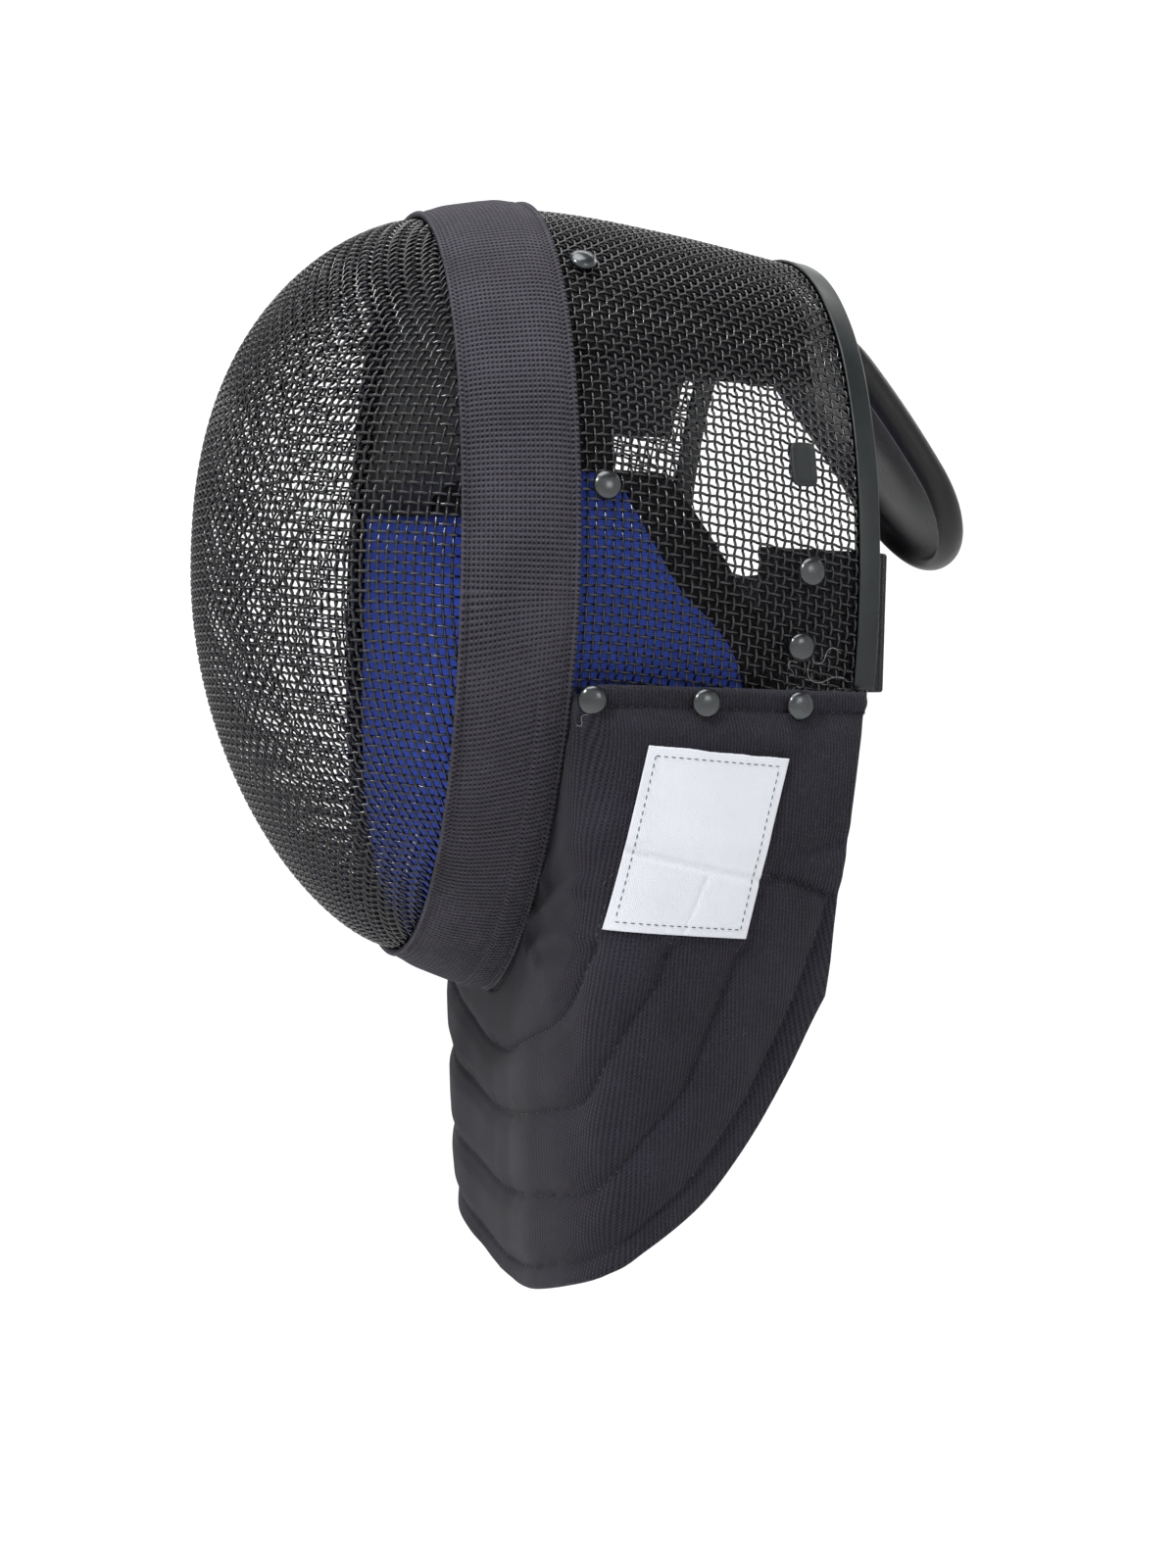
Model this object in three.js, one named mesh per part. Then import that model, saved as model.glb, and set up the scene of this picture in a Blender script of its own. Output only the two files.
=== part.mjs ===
// A fencing mask with its bib: a bulb of woven wire in front, a wire shell over the head behind it,
// an elastic band over their joint, padding inside and a quilted cloth bib hanging from the chin.
// Millimetres, +Z up. The wearer faces -Y and the wearer's left is +X. The origin is where the top of
// the head meets the crown pad.
import * as THREE from "three";
import { mergeVertices } from "three/addons/utils/BufferGeometryUtils.js";

// Driving dimensions of the wire head
const HALF_WIDTH = 110; // widest level, at the band's rear edge
const CROWN_RISE = 141; // widest level up to the crown
const CHIN_DROP = 139; // widest level down to the chin
const SHELL_DEPTH = 143; // band's front edge to the rear edge of the shell
const BULB_DEPTH = 73.5; // band's front edge to the nose of the bulb
const NOSE_ABOVE_WIDEST = 13;
const WIDEST_BELOW_SEAT = 122;
const BAND_TO_SEAT = 70; // band's front edge back to the head seat
const MESH_WALL = 2; // two crossing 1 mm wires
const SHELL_BELOW_WIDEST = 38; // lower edge of the rear shell, under the bib's hem
const JOINT_BEHIND_EDGE = 14; // band's front edge back to where bulb and shell meet

// Driving dimensions of what is fixed to the wire
const CLEARANCE = 0.3; // between neighbouring pieces
const BAND_WIDTH = 38;
const BAND_GAP = 0.7; // wire to webbing
const BAND_EDGE_WALL = 1.2;
const BAND_MIDDLE_WALL = 2.8;
const TRIM_WIDTH = 7.5;
const TRIM_WALL = 1;
const RIVET_DIAMETER = 9.6;
const RIVET_HEIGHT = 2.6;
const RIVET_INSET = 0.5; // bib's top edge to the rim of its rivets
const RIVETS_BEHIND_BAND = 8.2; // webbing to the centres of the front rivets
const HEM_RIVET_BEHIND_BAND = 4.6;
const SEAT_GAP = 0.6; // between a flat base and the curved wire under it
const CLIP_WIDTH = 9;
const CLIP_HEIGHT = 15;
const CLIP_WALL = 1.2;
const CLIP_CORNER = 2;

// Driving dimensions of the padding inside
const PAD_GAP = 0.6; // wire to padding
const CROWN_PAD_WALL = 13;
const CROWN_PAD_EDGE = 79; // widest level up to the pad's edge at the sides
const CROWN_PAD_REAR = 0.9; // its rear end, as a share of SHELL_DEPTH
const FACE_PAD_DEPTH = 26;
const FACE_PAD_INSET = 5; // band's front edge back to the face pad
const FACE_PAD_EDGE = 38; // widest level up to the face pad's ends
const WINDOW_HALF_WIDTH = 90;
const BROW_ARCH = 7; // how far the pad's lower edge rises in the middle
const SIDE_LINING_DEPTH = 19;
const SIDE_LINING_WALL = 5;
const CHEEK_WALL = 7;
const BINDING_WALL = 3;

// Driving dimensions of the cloth and elastic
const BIB_DROP = 246; // widest level down to the lowest point of the hem
const BIB_WALL = 5;
const BIB_OFF = 1.1; // wire to cloth
const BIB_BELOW_WIDEST = 29; // top hem at the sides
const LABEL_WIDTH = 49;
const LABEL_HEIGHT = 61;
const LABEL_WALL = 0.8;
const LABEL_GAP = 1.0; // cloth to label
const LABEL_LEAN = 12; // degrees that its foot swings forward
const LABEL_SLOPE = 3.6; // degrees that its level edges drop towards the back
const LABEL_BELOW_WIDEST = 80; // to its centre
const LABEL_ALONG = 0.56; // its centre, as a share of SHELL_DEPTH
const STRAP_WIDTH = 47;
const STRAP_WALL = 2;
const STRAP_BELOW_WIDEST = 3; // to its centre line
const TONGUE_WIDTH = 76;
const TONGUE_LENGTH = 131;
const TONGUE_WALL = 11;
const TONGUE_SLOPE = 41; // degrees below level at its upper end
const TONGUE_CURL = 20; // degrees that it turns further down
const TONGUE_SEAT = 0.85; // where it meets the crown pad's rear face, as a share of the pad's wall
const TONGUE_NECK = 0.5; // width of its upper end, as a share
const TONGUE_NECK_END = 0.35; // where it reaches its full width, as a share of its length
const TONGUE_TIP = 0.2; // width of its flat lower end, as a share

const DEGREE = Math.PI / 180;

// Steps in the surfaces, round or along each piece
const STEPS = { ring: 44, bulb: 9, shell: 7, shellRing: 40, band: 56, crownPad: 18, facePad: 32 };
const CHEEK_STEPS = 40;
const BIB_STEPS = { across: 48, down: 12 };
const LABEL_STEPS = { across: 6, up: 7 };
const TONGUE_STEPS = 16;
const STRAP_STEPS = 40;
const RIVET_SIDES = 14;

// The head's cross-sections across Y, as shares of SHELL_DEPTH, HALF_WIDTH, CROWN_RISE and CHIN_DROP
const HEAD_SECTIONS = [
  { at: 0.0, width: 0.968, rise: 0.954, drop: 0.903, roundness: 2.1 },
  { at: 0.27, width: 1.0, rise: 1.0, drop: 1.0, roundness: 1.6 },
  { at: 0.62, width: 0.995, rise: 0.973, drop: 1.02, roundness: 1.8 },
  { at: 1.0, width: 0.955, rise: 0.912, drop: 1.04, roundness: 2.0 },
];
const CROWN_ROUNDNESS = 2.15;

// The bulb shrinks towards its nose by powers of a cosine, and comes forward by a power of a sine
const BULB = { forward: 1.31, top: 0.9, bottom: 0.97, side: 0.99 };

// The bib's hem from the middle of the chest (0) to its rear end (1): shares of HALF_WIDTH,
// SHELL_DEPTH and BIB_DROP, the way it faces in degrees, and its belly as a share of its height there
const HEM = [
  { at: 0.0, side: 0.0, along: 0.35, below: 1.0, facing: 0, belly: 0 },
  { at: 0.17, side: 0.25, along: 0.345, below: 0.991, facing: 0, belly: 0.01 },
  { at: 0.33, side: 0.5, along: 0.33, below: 0.97, facing: 0, belly: 0.02 },
  { at: 0.47, side: 0.72, along: 0.362, below: 0.94, facing: 10, belly: 0.02 },
  { at: 0.56, side: 0.84, along: 0.41, below: 0.915, facing: 45, belly: 0.02 },
  { at: 0.66, side: 0.88, along: 0.47, below: 0.883, facing: 80, belly: 0.03 },
  { at: 0.78, side: 0.88, along: 0.64, below: 0.797, facing: 85, belly: 0.03 },
  { at: 0.9, side: 0.86, along: 0.8, below: 0.656, facing: 88, belly: 0.02 },
  { at: 1.0, side: 0.845, along: 0.905, below: 0.533, facing: 90, belly: 0.01 },
];
const BIB_SIDE_AT = 0.75; // where the bib's top edge leaves the band for the shell
const BIB_REAR = 0.985; // its rear corner, as a share of SHELL_DEPTH

// Rear edge of the cheek lining from its upper end (0) to the chin (1), and its binding's width, as
// shares of SHELL_DEPTH
const CHEEK_EDGE = [
  { at: 0.0, reach: 0.36, binding: 0.12 },
  { at: 0.12, reach: 0.5, binding: 0.14 },
  { at: 0.25, reach: 0.68, binding: 0.1 },
  { at: 0.45, reach: 0.69, binding: 0.05 },
  { at: 0.7, reach: 0.5, binding: 0.05 },
  { at: 1.0, reach: 0.34, binding: 0.05 },
];

// The strap seen from above, from its end on the side wall to the middle of the back
const STRAP_PATH = [
  { along: 0.72, side: 0.9 },
  { along: 0.9, side: 0.885 },
  { along: 1.02, side: 0.87 },
  { along: 1.06, side: 0.78 },
  { along: 1.09, side: 0.4 },
  { along: 1.1, side: 0.0 },
];

// Rivets of one side: place along SHELL_DEPTH, the front ones at a distance behind the band, and
// height as a share of CROWN_RISE or CHIN_DROP
const behindBand = (distance) => (BAND_WIDTH + BAND_GAP + distance) / SHELL_DEPTH;
const SHELL_RIVETS = [
  { name: "rivet_crown", along: behindBand(RIVETS_BEHIND_BAND), height: 0.795 },
  { name: "rivet_side", along: behindBand(RIVETS_BEHIND_BAND), height: 0.245 },
  { name: "rivet_strap_upper", along: 0.825, height: 0.07 },
  { name: "rivet_strap_lower", along: 0.805, height: -0.108 },
];
const BIB_RIVETS = [
  { name: "rivet_hem_front", along: behindBand(HEM_RIVET_BEHIND_BAND) },
  { name: "rivet_hem_middle", along: 0.567 },
  { name: "rivet_hem_rear", along: 0.797 },
];
const CLIP_PLACE = { along: 0.808, height: 0.32 };

// Half-section of the band: place across its width, and wall
const BAND_SECTION = [
  { across: 0, wall: BAND_EDGE_WALL },
  { across: 0.3, wall: BAND_MIDDLE_WALL },
  { across: 0.7, wall: BAND_MIDDLE_WALL },
  { across: 1, wall: BAND_EDGE_WALL },
];

// Section of the tongue, as shares of its half width and half wall
const TONGUE_SECTION = [
  { side: -1, thick: -0.5 },
  { side: -0.9, thick: -1 },
  { side: 0.9, thick: -1 },
  { side: 1, thick: -0.5 },
  { side: 1, thick: 0.5 },
  { side: 0.9, thick: 1 },
  { side: -0.9, thick: 1 },
  { side: -1, thick: 0.5 },
];

// Value of one column of a table at a place, on a smooth curve through the rows
function column(rows, name, at) {
  let i = 0;
  while (i < rows.length - 2 && at > rows[i + 1].at) i++;
  const slope = (k) => {
    const a = rows[Math.max(k - 1, 0)];
    const b = rows[Math.min(k + 1, rows.length - 1)];
    return (b[name] - a[name]) / (b.at - a.at);
  };
  const [from, to] = [rows[i], rows[i + 1]];
  const span = to.at - from.at;
  const s = (at - from.at) / span;
  const [s2, s3] = [s * s, s * s * s];
  return (
    from[name] * (2 * s3 - 3 * s2 + 1) +
    to[name] * (3 * s2 - 2 * s3) +
    slope(i) * span * (s3 - 2 * s2 + s) +
    slope(i + 1) * span * (s3 - s2)
  );
}

// One cross-section of the head as sizes in mm
function section(along) {
  return {
    width: HALF_WIDTH * column(HEAD_SECTIONS, "width", along),
    rise: CROWN_RISE * column(HEAD_SECTIONS, "rise", along),
    drop: CHIN_DROP * column(HEAD_SECTIONS, "drop", along),
    roundness: column(HEAD_SECTIONS, "roundness", along),
  };
}

// Point of a superellipse at a turn from the crown (0) through the left side to the chin (pi)
function ovalPoint(size, turn) {
  const [s, c] = [Math.sin(turn), Math.cos(turn)];
  const power = 2 / (c >= 0 ? CROWN_ROUNDNESS : size.roundness);
  const side = size.width * Math.sign(s) * Math.abs(s) ** power;
  const height = (c >= 0 ? size.rise : -size.drop) * Math.abs(c) ** power;
  return [side, height];
}

function alongToY(along) {
  return along * SHELL_DEPTH - BAND_TO_SEAT;
}

function heightToZ(height) {
  return height - WIDEST_BELOW_SEAT;
}

// Bare surface of the head behind the band's front edge
function headSurface(along, turn) {
  const [side, height] = ovalPoint(section(along), turn);
  return new THREE.Vector3(side, alongToY(along), heightToZ(height));
}

// Bare surface of the bulb, from the band's front edge (0) to the nose (1)
function bulbSurface(forward, turn) {
  const [side, height] = ovalPoint(section(0), turn);
  const [s, c] = [Math.sin((forward * Math.PI) / 2), Math.cos((forward * Math.PI) / 2)];
  const shrink = Math.max(c, 0) ** (height >= 0 ? BULB.top : BULB.bottom);
  return new THREE.Vector3(
    side * Math.max(c, 0) ** BULB.side,
    -BAND_TO_SEAT - BULB_DEPTH * s ** BULB.forward,
    heightToZ(height * shrink + NOSE_ABOVE_WIDEST * s * s),
  );
}

// Turn at which a cross-section has a given height over the widest level
function turnAt(along, height) {
  const size = section(along);
  const limit = height >= 0 ? size.rise : size.drop;
  const power = (height >= 0 ? CROWN_ROUNDNESS : size.roundness) / 2;
  const cosine = (Math.min(Math.abs(height), limit) / limit) ** power;
  return Math.acos(height >= 0 ? cosine : -cosine);
}

// Unit normal of a surface of two parameters, on the side that `outward` gives
const NORMAL_STEP = 1e-3;
function normalOf(surface, a, b, outward) {
  const step = NORMAL_STEP;
  const alongA = surface(a + step, b).sub(surface(a - step, b));
  const alongB = surface(a, b + step).sub(surface(a, b - step));
  const normal = alongA.cross(alongB).normalize();
  return normal.dot(outward) < 0 ? normal.negate() : normal;
}

// Point that stands off the head by a distance, positive outwards
function headPoint(along, turn, off = 0) {
  const point = headSurface(along, turn);
  const outward = new THREE.Vector3(point.x, 0, point.z + WIDEST_BELOW_SEAT);
  return point.addScaledVector(normalOf(headSurface, along, turn, outward), off);
}

function bulbPoint(forward, turn, off = 0) {
  const nose = new THREE.Vector3(0, -1, 0);
  if (forward > 1 - NORMAL_STEP) return bulbSurface(1, turn).addScaledVector(nose, off);
  const point = bulbSurface(forward, turn);
  const outward = new THREE.Vector3(point.x, 0, point.z - heightToZ(NOSE_ABOVE_WIDEST)).normalize();
  const inside = Math.max(forward, 2 * NORMAL_STEP);
  return point.addScaledVector(normalOf(bulbSurface, inside, turn, outward.add(nose)), off);
}

const range = (count, from = 0, to = 1) =>
  Array.from({ length: count + 1 }, (_, i) => from + ((to - from) * i) / count);

// Closed geometry from triangles of points: shared points merged, faces turned outwards
function solid(triangles) {
  const position = new Float32Array(triangles.flat().flatMap((p) => [p.x, p.y, p.z]));
  const loose = new THREE.BufferGeometry();
  loose.setAttribute("position", new THREE.BufferAttribute(position, 3));
  const merged = mergeVertices(loose, 1e-3);
  const index = [];
  const old = merged.index.array;
  for (let i = 0; i < old.length; i += 3) {
    const [a, b, c] = [old[i], old[i + 1], old[i + 2]];
    if (a !== b && b !== c && c !== a) index.push(a, b, c);
  }
  const points = merged.attributes.position;
  const corner = (i) => new THREE.Vector3().fromBufferAttribute(points, i);
  let volume = 0;
  for (let i = 0; i < index.length; i += 3)
    volume += corner(index[i]).dot(corner(index[i + 1]).cross(corner(index[i + 2])));
  if (volume < 0) index.reverse();
  merged.setIndex(index);
  merged.computeVertexNormals();
  return merged;
}

// Two triangles for each cell between two rows of points
function strip(rowA, rowB) {
  const faces = [];
  for (let i = 0; i + 1 < rowA.length; i++) {
    faces.push([rowA[i], rowB[i], rowB[i + 1]]);
    faces.push([rowA[i], rowB[i + 1], rowA[i + 1]]);
  }
  return faces;
}

// A wall between an outer and an inner grid of points with the same rows
function wall(outer, inner) {
  const last = outer.length - 1;
  const faces = [];
  for (let i = 0; i < last; i++) {
    faces.push(...strip(outer[i], outer[i + 1]));
    faces.push(...strip(inner[i + 1], inner[i]));
  }
  const ends = (grid, k) => grid.map((row) => row.at(k));
  faces.push(...strip(inner[0], outer[0]), ...strip(outer[last], inner[last]));
  faces.push(...strip(ends(outer, 0), ends(inner, 0)));
  faces.push(...strip(ends(inner, -1), ends(outer, -1)));
  return solid(faces);
}

// A wall whose rows are closed rings
function ringWall(outer, inner) {
  const last = outer.length - 1;
  const faces = [];
  for (let i = 0; i < last; i++) {
    faces.push(...strip(outer[i], outer[i + 1]));
    faces.push(...strip(inner[i + 1], inner[i]));
  }
  faces.push(...strip(inner[0], outer[0]), ...strip(outer[last], inner[last]));
  return solid(faces);
}

// A bar through rings of equal length, whose flat ends are cut as `outline`, a list of Vector2
function bar(rings, outline) {
  const faces = [];
  const closed = rings.map((ring) => [...ring, ring[0]]);
  for (let i = 0; i + 1 < closed.length; i++) faces.push(...strip(closed[i], closed[i + 1]));
  const [first, last] = THREE.ShapeUtils.isClockWise(outline)
    ? [rings.at(-1), rings[0]]
    : [rings[0], rings.at(-1)];
  for (const [a, b, c] of THREE.ShapeUtils.triangulateShape(outline, []))
    faces.push([first[a], first[b], first[c]], [last[c], last[b], last[a]]);
  return solid(faces);
}

function named(name, geometry, material) {
  const mesh = new THREE.Mesh(geometry, material);
  mesh.name = name;
  return mesh;
}

const finish = (color, roughness, metalness = 0) =>
  new THREE.MeshStandardMaterial({ color, roughness, metalness });
const WIRE_FINISH = finish(0x1c1d20, 0.35, 0.4);
const METAL_FINISH = finish(0x2b2e30, 0.4, 0.7);
const ELASTIC_FINISH = finish(0x3c3a42, 0.9);
const CLOTH_FINISH = finish(0x2d2b34, 0.95);
const PAD_FINISH = finish(0x1b1b1e, 0.9);
const BLUE_FINISH = finish(0x2c3f9a, 0.9);
const VINYL_FINISH = finish(0x222328, 0.5);
const LABEL_FINISH = finish(0xebeef8, 0.85);

const SIDES = [
  { suffix: "left", mirror: 1 },
  { suffix: "right", mirror: -1 },
];
const PAD_OFF = -MESH_WALL - PAD_GAP; // outer face of the padding, from the head's surface
const CROWN_PAD_FRONT = (FACE_PAD_INSET + FACE_PAD_DEPTH + 2 * PAD_GAP) / SHELL_DEPTH;

// The bulb runs under the band and ends at the joint with the rear shell
function frontMesh() {
  const rows = (off) => [
    ...range(STEPS.bulb, 1, 0).map((forward) => ring((turn) => bulbPoint(forward, turn, off))),
    ring((turn) => headPoint(JOINT_BEHIND_EDGE / SHELL_DEPTH, turn, off)),
  ];
  const ring = (point) => range(STEPS.ring, -Math.PI, Math.PI).map(point);
  return named("front_mesh", ringWall(rows(0), rows(-MESH_WALL)), WIRE_FINISH);
}

// Rows across the head from one lower edge over the crown to the other
function overHead(alongs, height, columns, off) {
  return alongs.map((along) => {
    const end = turnAt(along, height);
    return range(columns, -end, end).map((turn) => headPoint(along, turn, off));
  });
}

function backMesh() {
  const from = (JOINT_BEHIND_EDGE + CLEARANCE) / SHELL_DEPTH;
  const alongs = range(STEPS.shell, from, 1 - (TRIM_WALL + CLEARANCE) / SHELL_DEPTH);
  const rows = (off) => overHead(alongs, -SHELL_BELOW_WIDEST, STEPS.shellRing, off);
  return named("back_mesh", wall(rows(0), rows(-MESH_WALL)), WIRE_FINISH);
}

// Elastic webbing over the joint, thicker in the middle where the rolled rims lie under it
function bandRing() {
  const ringOf = (across, off) =>
    range(STEPS.band, -Math.PI, Math.PI).map((turn) =>
      headPoint((across * BAND_WIDTH) / SHELL_DEPTH, turn, off),
    );
  const outer = BAND_SECTION.map((row) => ringOf(row.across, BAND_GAP + row.wall));
  const inner = BAND_SECTION.map((row) => ringOf(row.across, BAND_GAP));
  return named("band", ringWall(outer, inner), ELASTIC_FINISH);
}

// A bent metal channel over the shell's rear edge
function rearTrim() {
  const [front, slot] = [1 - TRIM_WIDTH / SHELL_DEPTH, 1 - TRIM_WALL / SHELL_DEPTH];
  const outer = CLEARANCE + TRIM_WALL;
  const inner = MESH_WALL + CLEARANCE + TRIM_WALL;
  const outline = [
    [front, outer],
    [1, outer],
    [1, -inner],
    [front, -inner],
    [front, TRIM_WALL - inner],
    [slot, TRIM_WALL - inner],
    [slot, CLEARANCE],
    [front, CLEARANCE],
  ].map(([along, off]) => new THREE.Vector2(along, off));
  const height = CLEARANCE * 2 - BIB_BELOW_WIDEST;
  const rings = range(STEPS.ring, -1, 1).map((share) =>
    outline.map((p) => headPoint(p.x, share * turnAt(p.x, height), p.y)),
  );
  const flat = outline.map((p) => new THREE.Vector2(p.x * SHELL_DEPTH, p.y));
  return named("rear_edge_trim", bar(rings, flat), METAL_FINISH);
}

function crownPad() {
  const alongs = range(STEPS.shell - 1, CROWN_PAD_FRONT, CROWN_PAD_REAR);
  const surface = (off) => overHead(alongs, CROWN_PAD_EDGE, STEPS.crownPad, off);
  const [outer, inner] = [surface(PAD_OFF), surface(PAD_OFF - CROWN_PAD_WALL)];
  return named("crown_pad", wall(outer, inner), PAD_FINISH);
}

// Padding round the upper part of the face opening, deepest over the brow
function facePad() {
  const start = FACE_PAD_INSET / SHELL_DEPTH;
  const end = (FACE_PAD_INSET + FACE_PAD_DEPTH) / SHELL_DEPTH;
  const rings = range(STEPS.facePad, -1, 1).map((share) => {
    const turn = share * turnAt(start, FACE_PAD_EDGE);
    const side = WINDOW_HALF_WIDTH * Math.sin((share * Math.PI) / 2);
    const height = FACE_PAD_EDGE + BROW_ARCH * Math.cos((share * Math.PI) / 2);
    const edge = (along) => new THREE.Vector3(side, alongToY(along), heightToZ(height));
    const rim = [headPoint(start, turn, PAD_OFF), headPoint(end, turn, PAD_OFF)];
    return [...rim, edge(end), edge(start)];
  });
  const outline = [
    [0, 0],
    [1, 0],
    [1, 1],
    [0, 1],
  ].map(([x, y]) => new THREE.Vector2(x, y));
  return named("face_pad", bar(rings, outline), PAD_FINISH);
}

// Strips of padding at both sides, from the crown pad down to the cheek lining, behind the face pad
function sideLinings() {
  const alongs = range(3, CROWN_PAD_FRONT, CROWN_PAD_FRONT + SIDE_LINING_DEPTH / SHELL_DEPTH);
  const foot = turnAt(FACE_PAD_INSET / SHELL_DEPTH, FACE_PAD_EDGE);
  return SIDES.map(({ suffix, mirror }) => {
    const grid = (off) =>
      alongs.map((along) => {
        const top = turnAt(along, CROWN_PAD_EDGE - 2 * PAD_GAP);
        return range(4, top, foot).map((turn) => headPoint(along, turn * mirror, off));
      });
    const strip = wall(grid(PAD_OFF), grid(PAD_OFF - SIDE_LINING_WALL));
    return named(`side_lining_${suffix}`, strip, PAD_FINISH);
  });
}

// Turns from the cheek lining's left upper end round the chin to its right one, with the place of
// each in the table of its edge
function cheekTurns(count) {
  const start = turnAt(FACE_PAD_INSET / SHELL_DEPTH, FACE_PAD_EDGE - 2 * PAD_GAP);
  return range(count, -1, 1).map((share) => {
    const at = 1 - Math.abs(share);
    return { at, turn: Math.PI + share * (Math.PI - start) };
  });
}

function cheekLining() {
  const front = FACE_PAD_INSET / SHELL_DEPTH;
  const grid = (off) =>
    cheekTurns(CHEEK_STEPS).map(({ at, turn }) =>
      range(4, front, column(CHEEK_EDGE, "reach", at)).map((along) => headPoint(along, turn, off)),
    );
  return named("cheek_lining", wall(grid(PAD_OFF), grid(PAD_OFF - CHEEK_WALL)), BLUE_FINISH);
}

function liningBinding() {
  const gap = CLEARANCE / SHELL_DEPTH;
  const grid = (off) =>
    cheekTurns(CHEEK_STEPS).map(({ at, turn }) => {
      const from = column(CHEEK_EDGE, "reach", at) + gap;
      const to = from + column(CHEEK_EDGE, "binding", at);
      return [from, to].map((along) => headPoint(along, turn, off));
    });
  return named("lining_binding", wall(grid(PAD_OFF), grid(PAD_OFF - BINDING_WALL)), PAD_FINISH);
}

// Top edge of the bib, from the chin along the band and then back along the shell
function bibTop(at) {
  const start = (BAND_WIDTH + BAND_GAP) / SHELL_DEPTH;
  if (at >= BIB_SIDE_AT) {
    const along = start + ((BIB_REAR - start) * (at - BIB_SIDE_AT)) / (1 - BIB_SIDE_AT);
    return headPoint(along, turnAt(along, -BIB_BELOW_WIDEST), BIB_OFF);
  }
  const side = turnAt(start, -BIB_BELOW_WIDEST);
  const rim = (place, behind) =>
    headPoint(start + behind, Math.PI + (side - Math.PI) * (place / BIB_SIDE_AT), BIB_OFF);
  const edge = rim(at + NORMAL_STEP, 0).sub(rim(at - NORMAL_STEP, 0));
  const normal = edge.cross(bibHem(at).sub(rim(at, 0))).normalize();
  return rim(at, ((BIB_WALL + BAND_GAP) * Math.abs(normal.y)) / SHELL_DEPTH);
}

function bibHem(at) {
  return new THREE.Vector3(
    HALF_WIDTH * column(HEM, "side", at),
    alongToY(column(HEM, "along", at)),
    heightToZ(-BIB_DROP * column(HEM, "below", at)),
  );
}

// Bare inner face of the bib's left half: straight from its top edge (0) to its hem (1), and bellied
function bibSurface(at, down) {
  const [place, mirror] = [Math.abs(at), Math.sign(at) || 1];
  const [top, hem] = [bibTop(place), bibHem(place)];
  const facing = column(HEM, "facing", place) * DEGREE;
  const belly = column(HEM, "belly", place) * 4 * down * (1 - down) * top.distanceTo(hem);
  const point = top.lerp(hem, down);
  point.x += belly * Math.sin(facing);
  point.y -= belly * Math.cos(facing);
  point.x *= mirror;
  return point;
}

function bibPoint(at, down, off = 0) {
  const facing = column(HEM, "facing", Math.abs(at)) * DEGREE * Math.sign(at);
  const outward = new THREE.Vector3(Math.sin(facing), -Math.cos(facing), 0);
  const most = 1 - NORMAL_STEP;
  const a = THREE.MathUtils.clamp(at, -most, most);
  const d = THREE.MathUtils.clamp(down, NORMAL_STEP, most);
  return bibSurface(at, down).addScaledVector(normalOf(bibSurface, a, d, outward), off);
}

function bib() {
  const grid = (off) =>
    range(BIB_STEPS.down).map((down) =>
      range(BIB_STEPS.across, -1, 1).map((at) => bibPoint(at, down, off)),
    );
  return named("bib", wall(grid(BIB_WALL), grid(0)), CLOTH_FINISH);
}

// Place on the bib's left side that has the given y and z, by Newton's method from its side panel
function bibPlace(y, z, off) {
  let [at, down] = [BIB_SIDE_AT, BIB_SIDE_AT / 2];
  const [step, rounds] = [NORMAL_STEP, 12];
  for (let i = 0; i < rounds; i++) {
    const here = bibPoint(at, down, off);
    const a = bibPoint(at + step, down, off).sub(here).divideScalar(step);
    const d = bibPoint(at, down + step, off).sub(here).divideScalar(step);
    const [ey, ez] = [y - here.y, z - here.z];
    const det = a.y * d.z - a.z * d.y;
    at = THREE.MathUtils.clamp(at + (ey * d.z - ez * d.y) / det, 0, 1);
    down = THREE.MathUtils.clamp(down + (a.y * ez - a.z * ey) / det, 0, 1);
  }
  return [at, down];
}

// A flat cloth label sewn on the left side of the bib
function label() {
  const [lean, slope] = [LABEL_LEAN * DEGREE, LABEL_SLOPE * DEGREE];
  const middle = { y: alongToY(LABEL_ALONG), z: heightToZ(-LABEL_BELOW_WIDEST) };
  const grid = (off) =>
    range(LABEL_STEPS.up, -0.5, 0.5).map((v) =>
      range(LABEL_STEPS.across, -0.5, 0.5).map((u) => {
        const [across, up] = [u * LABEL_WIDTH, v * LABEL_HEIGHT];
        const y = middle.y + across * Math.cos(slope) + up * Math.sin(lean);
        const z = middle.z - across * Math.sin(slope) + up * Math.cos(lean);
        const [at, down] = bibPlace(y, z, off);
        return bibPoint(at, down, off);
      }),
    );
  const off = BIB_WALL + LABEL_GAP;
  return named("label", wall(grid(off + LABEL_WALL), grid(off)), LABEL_FINISH);
}

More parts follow.
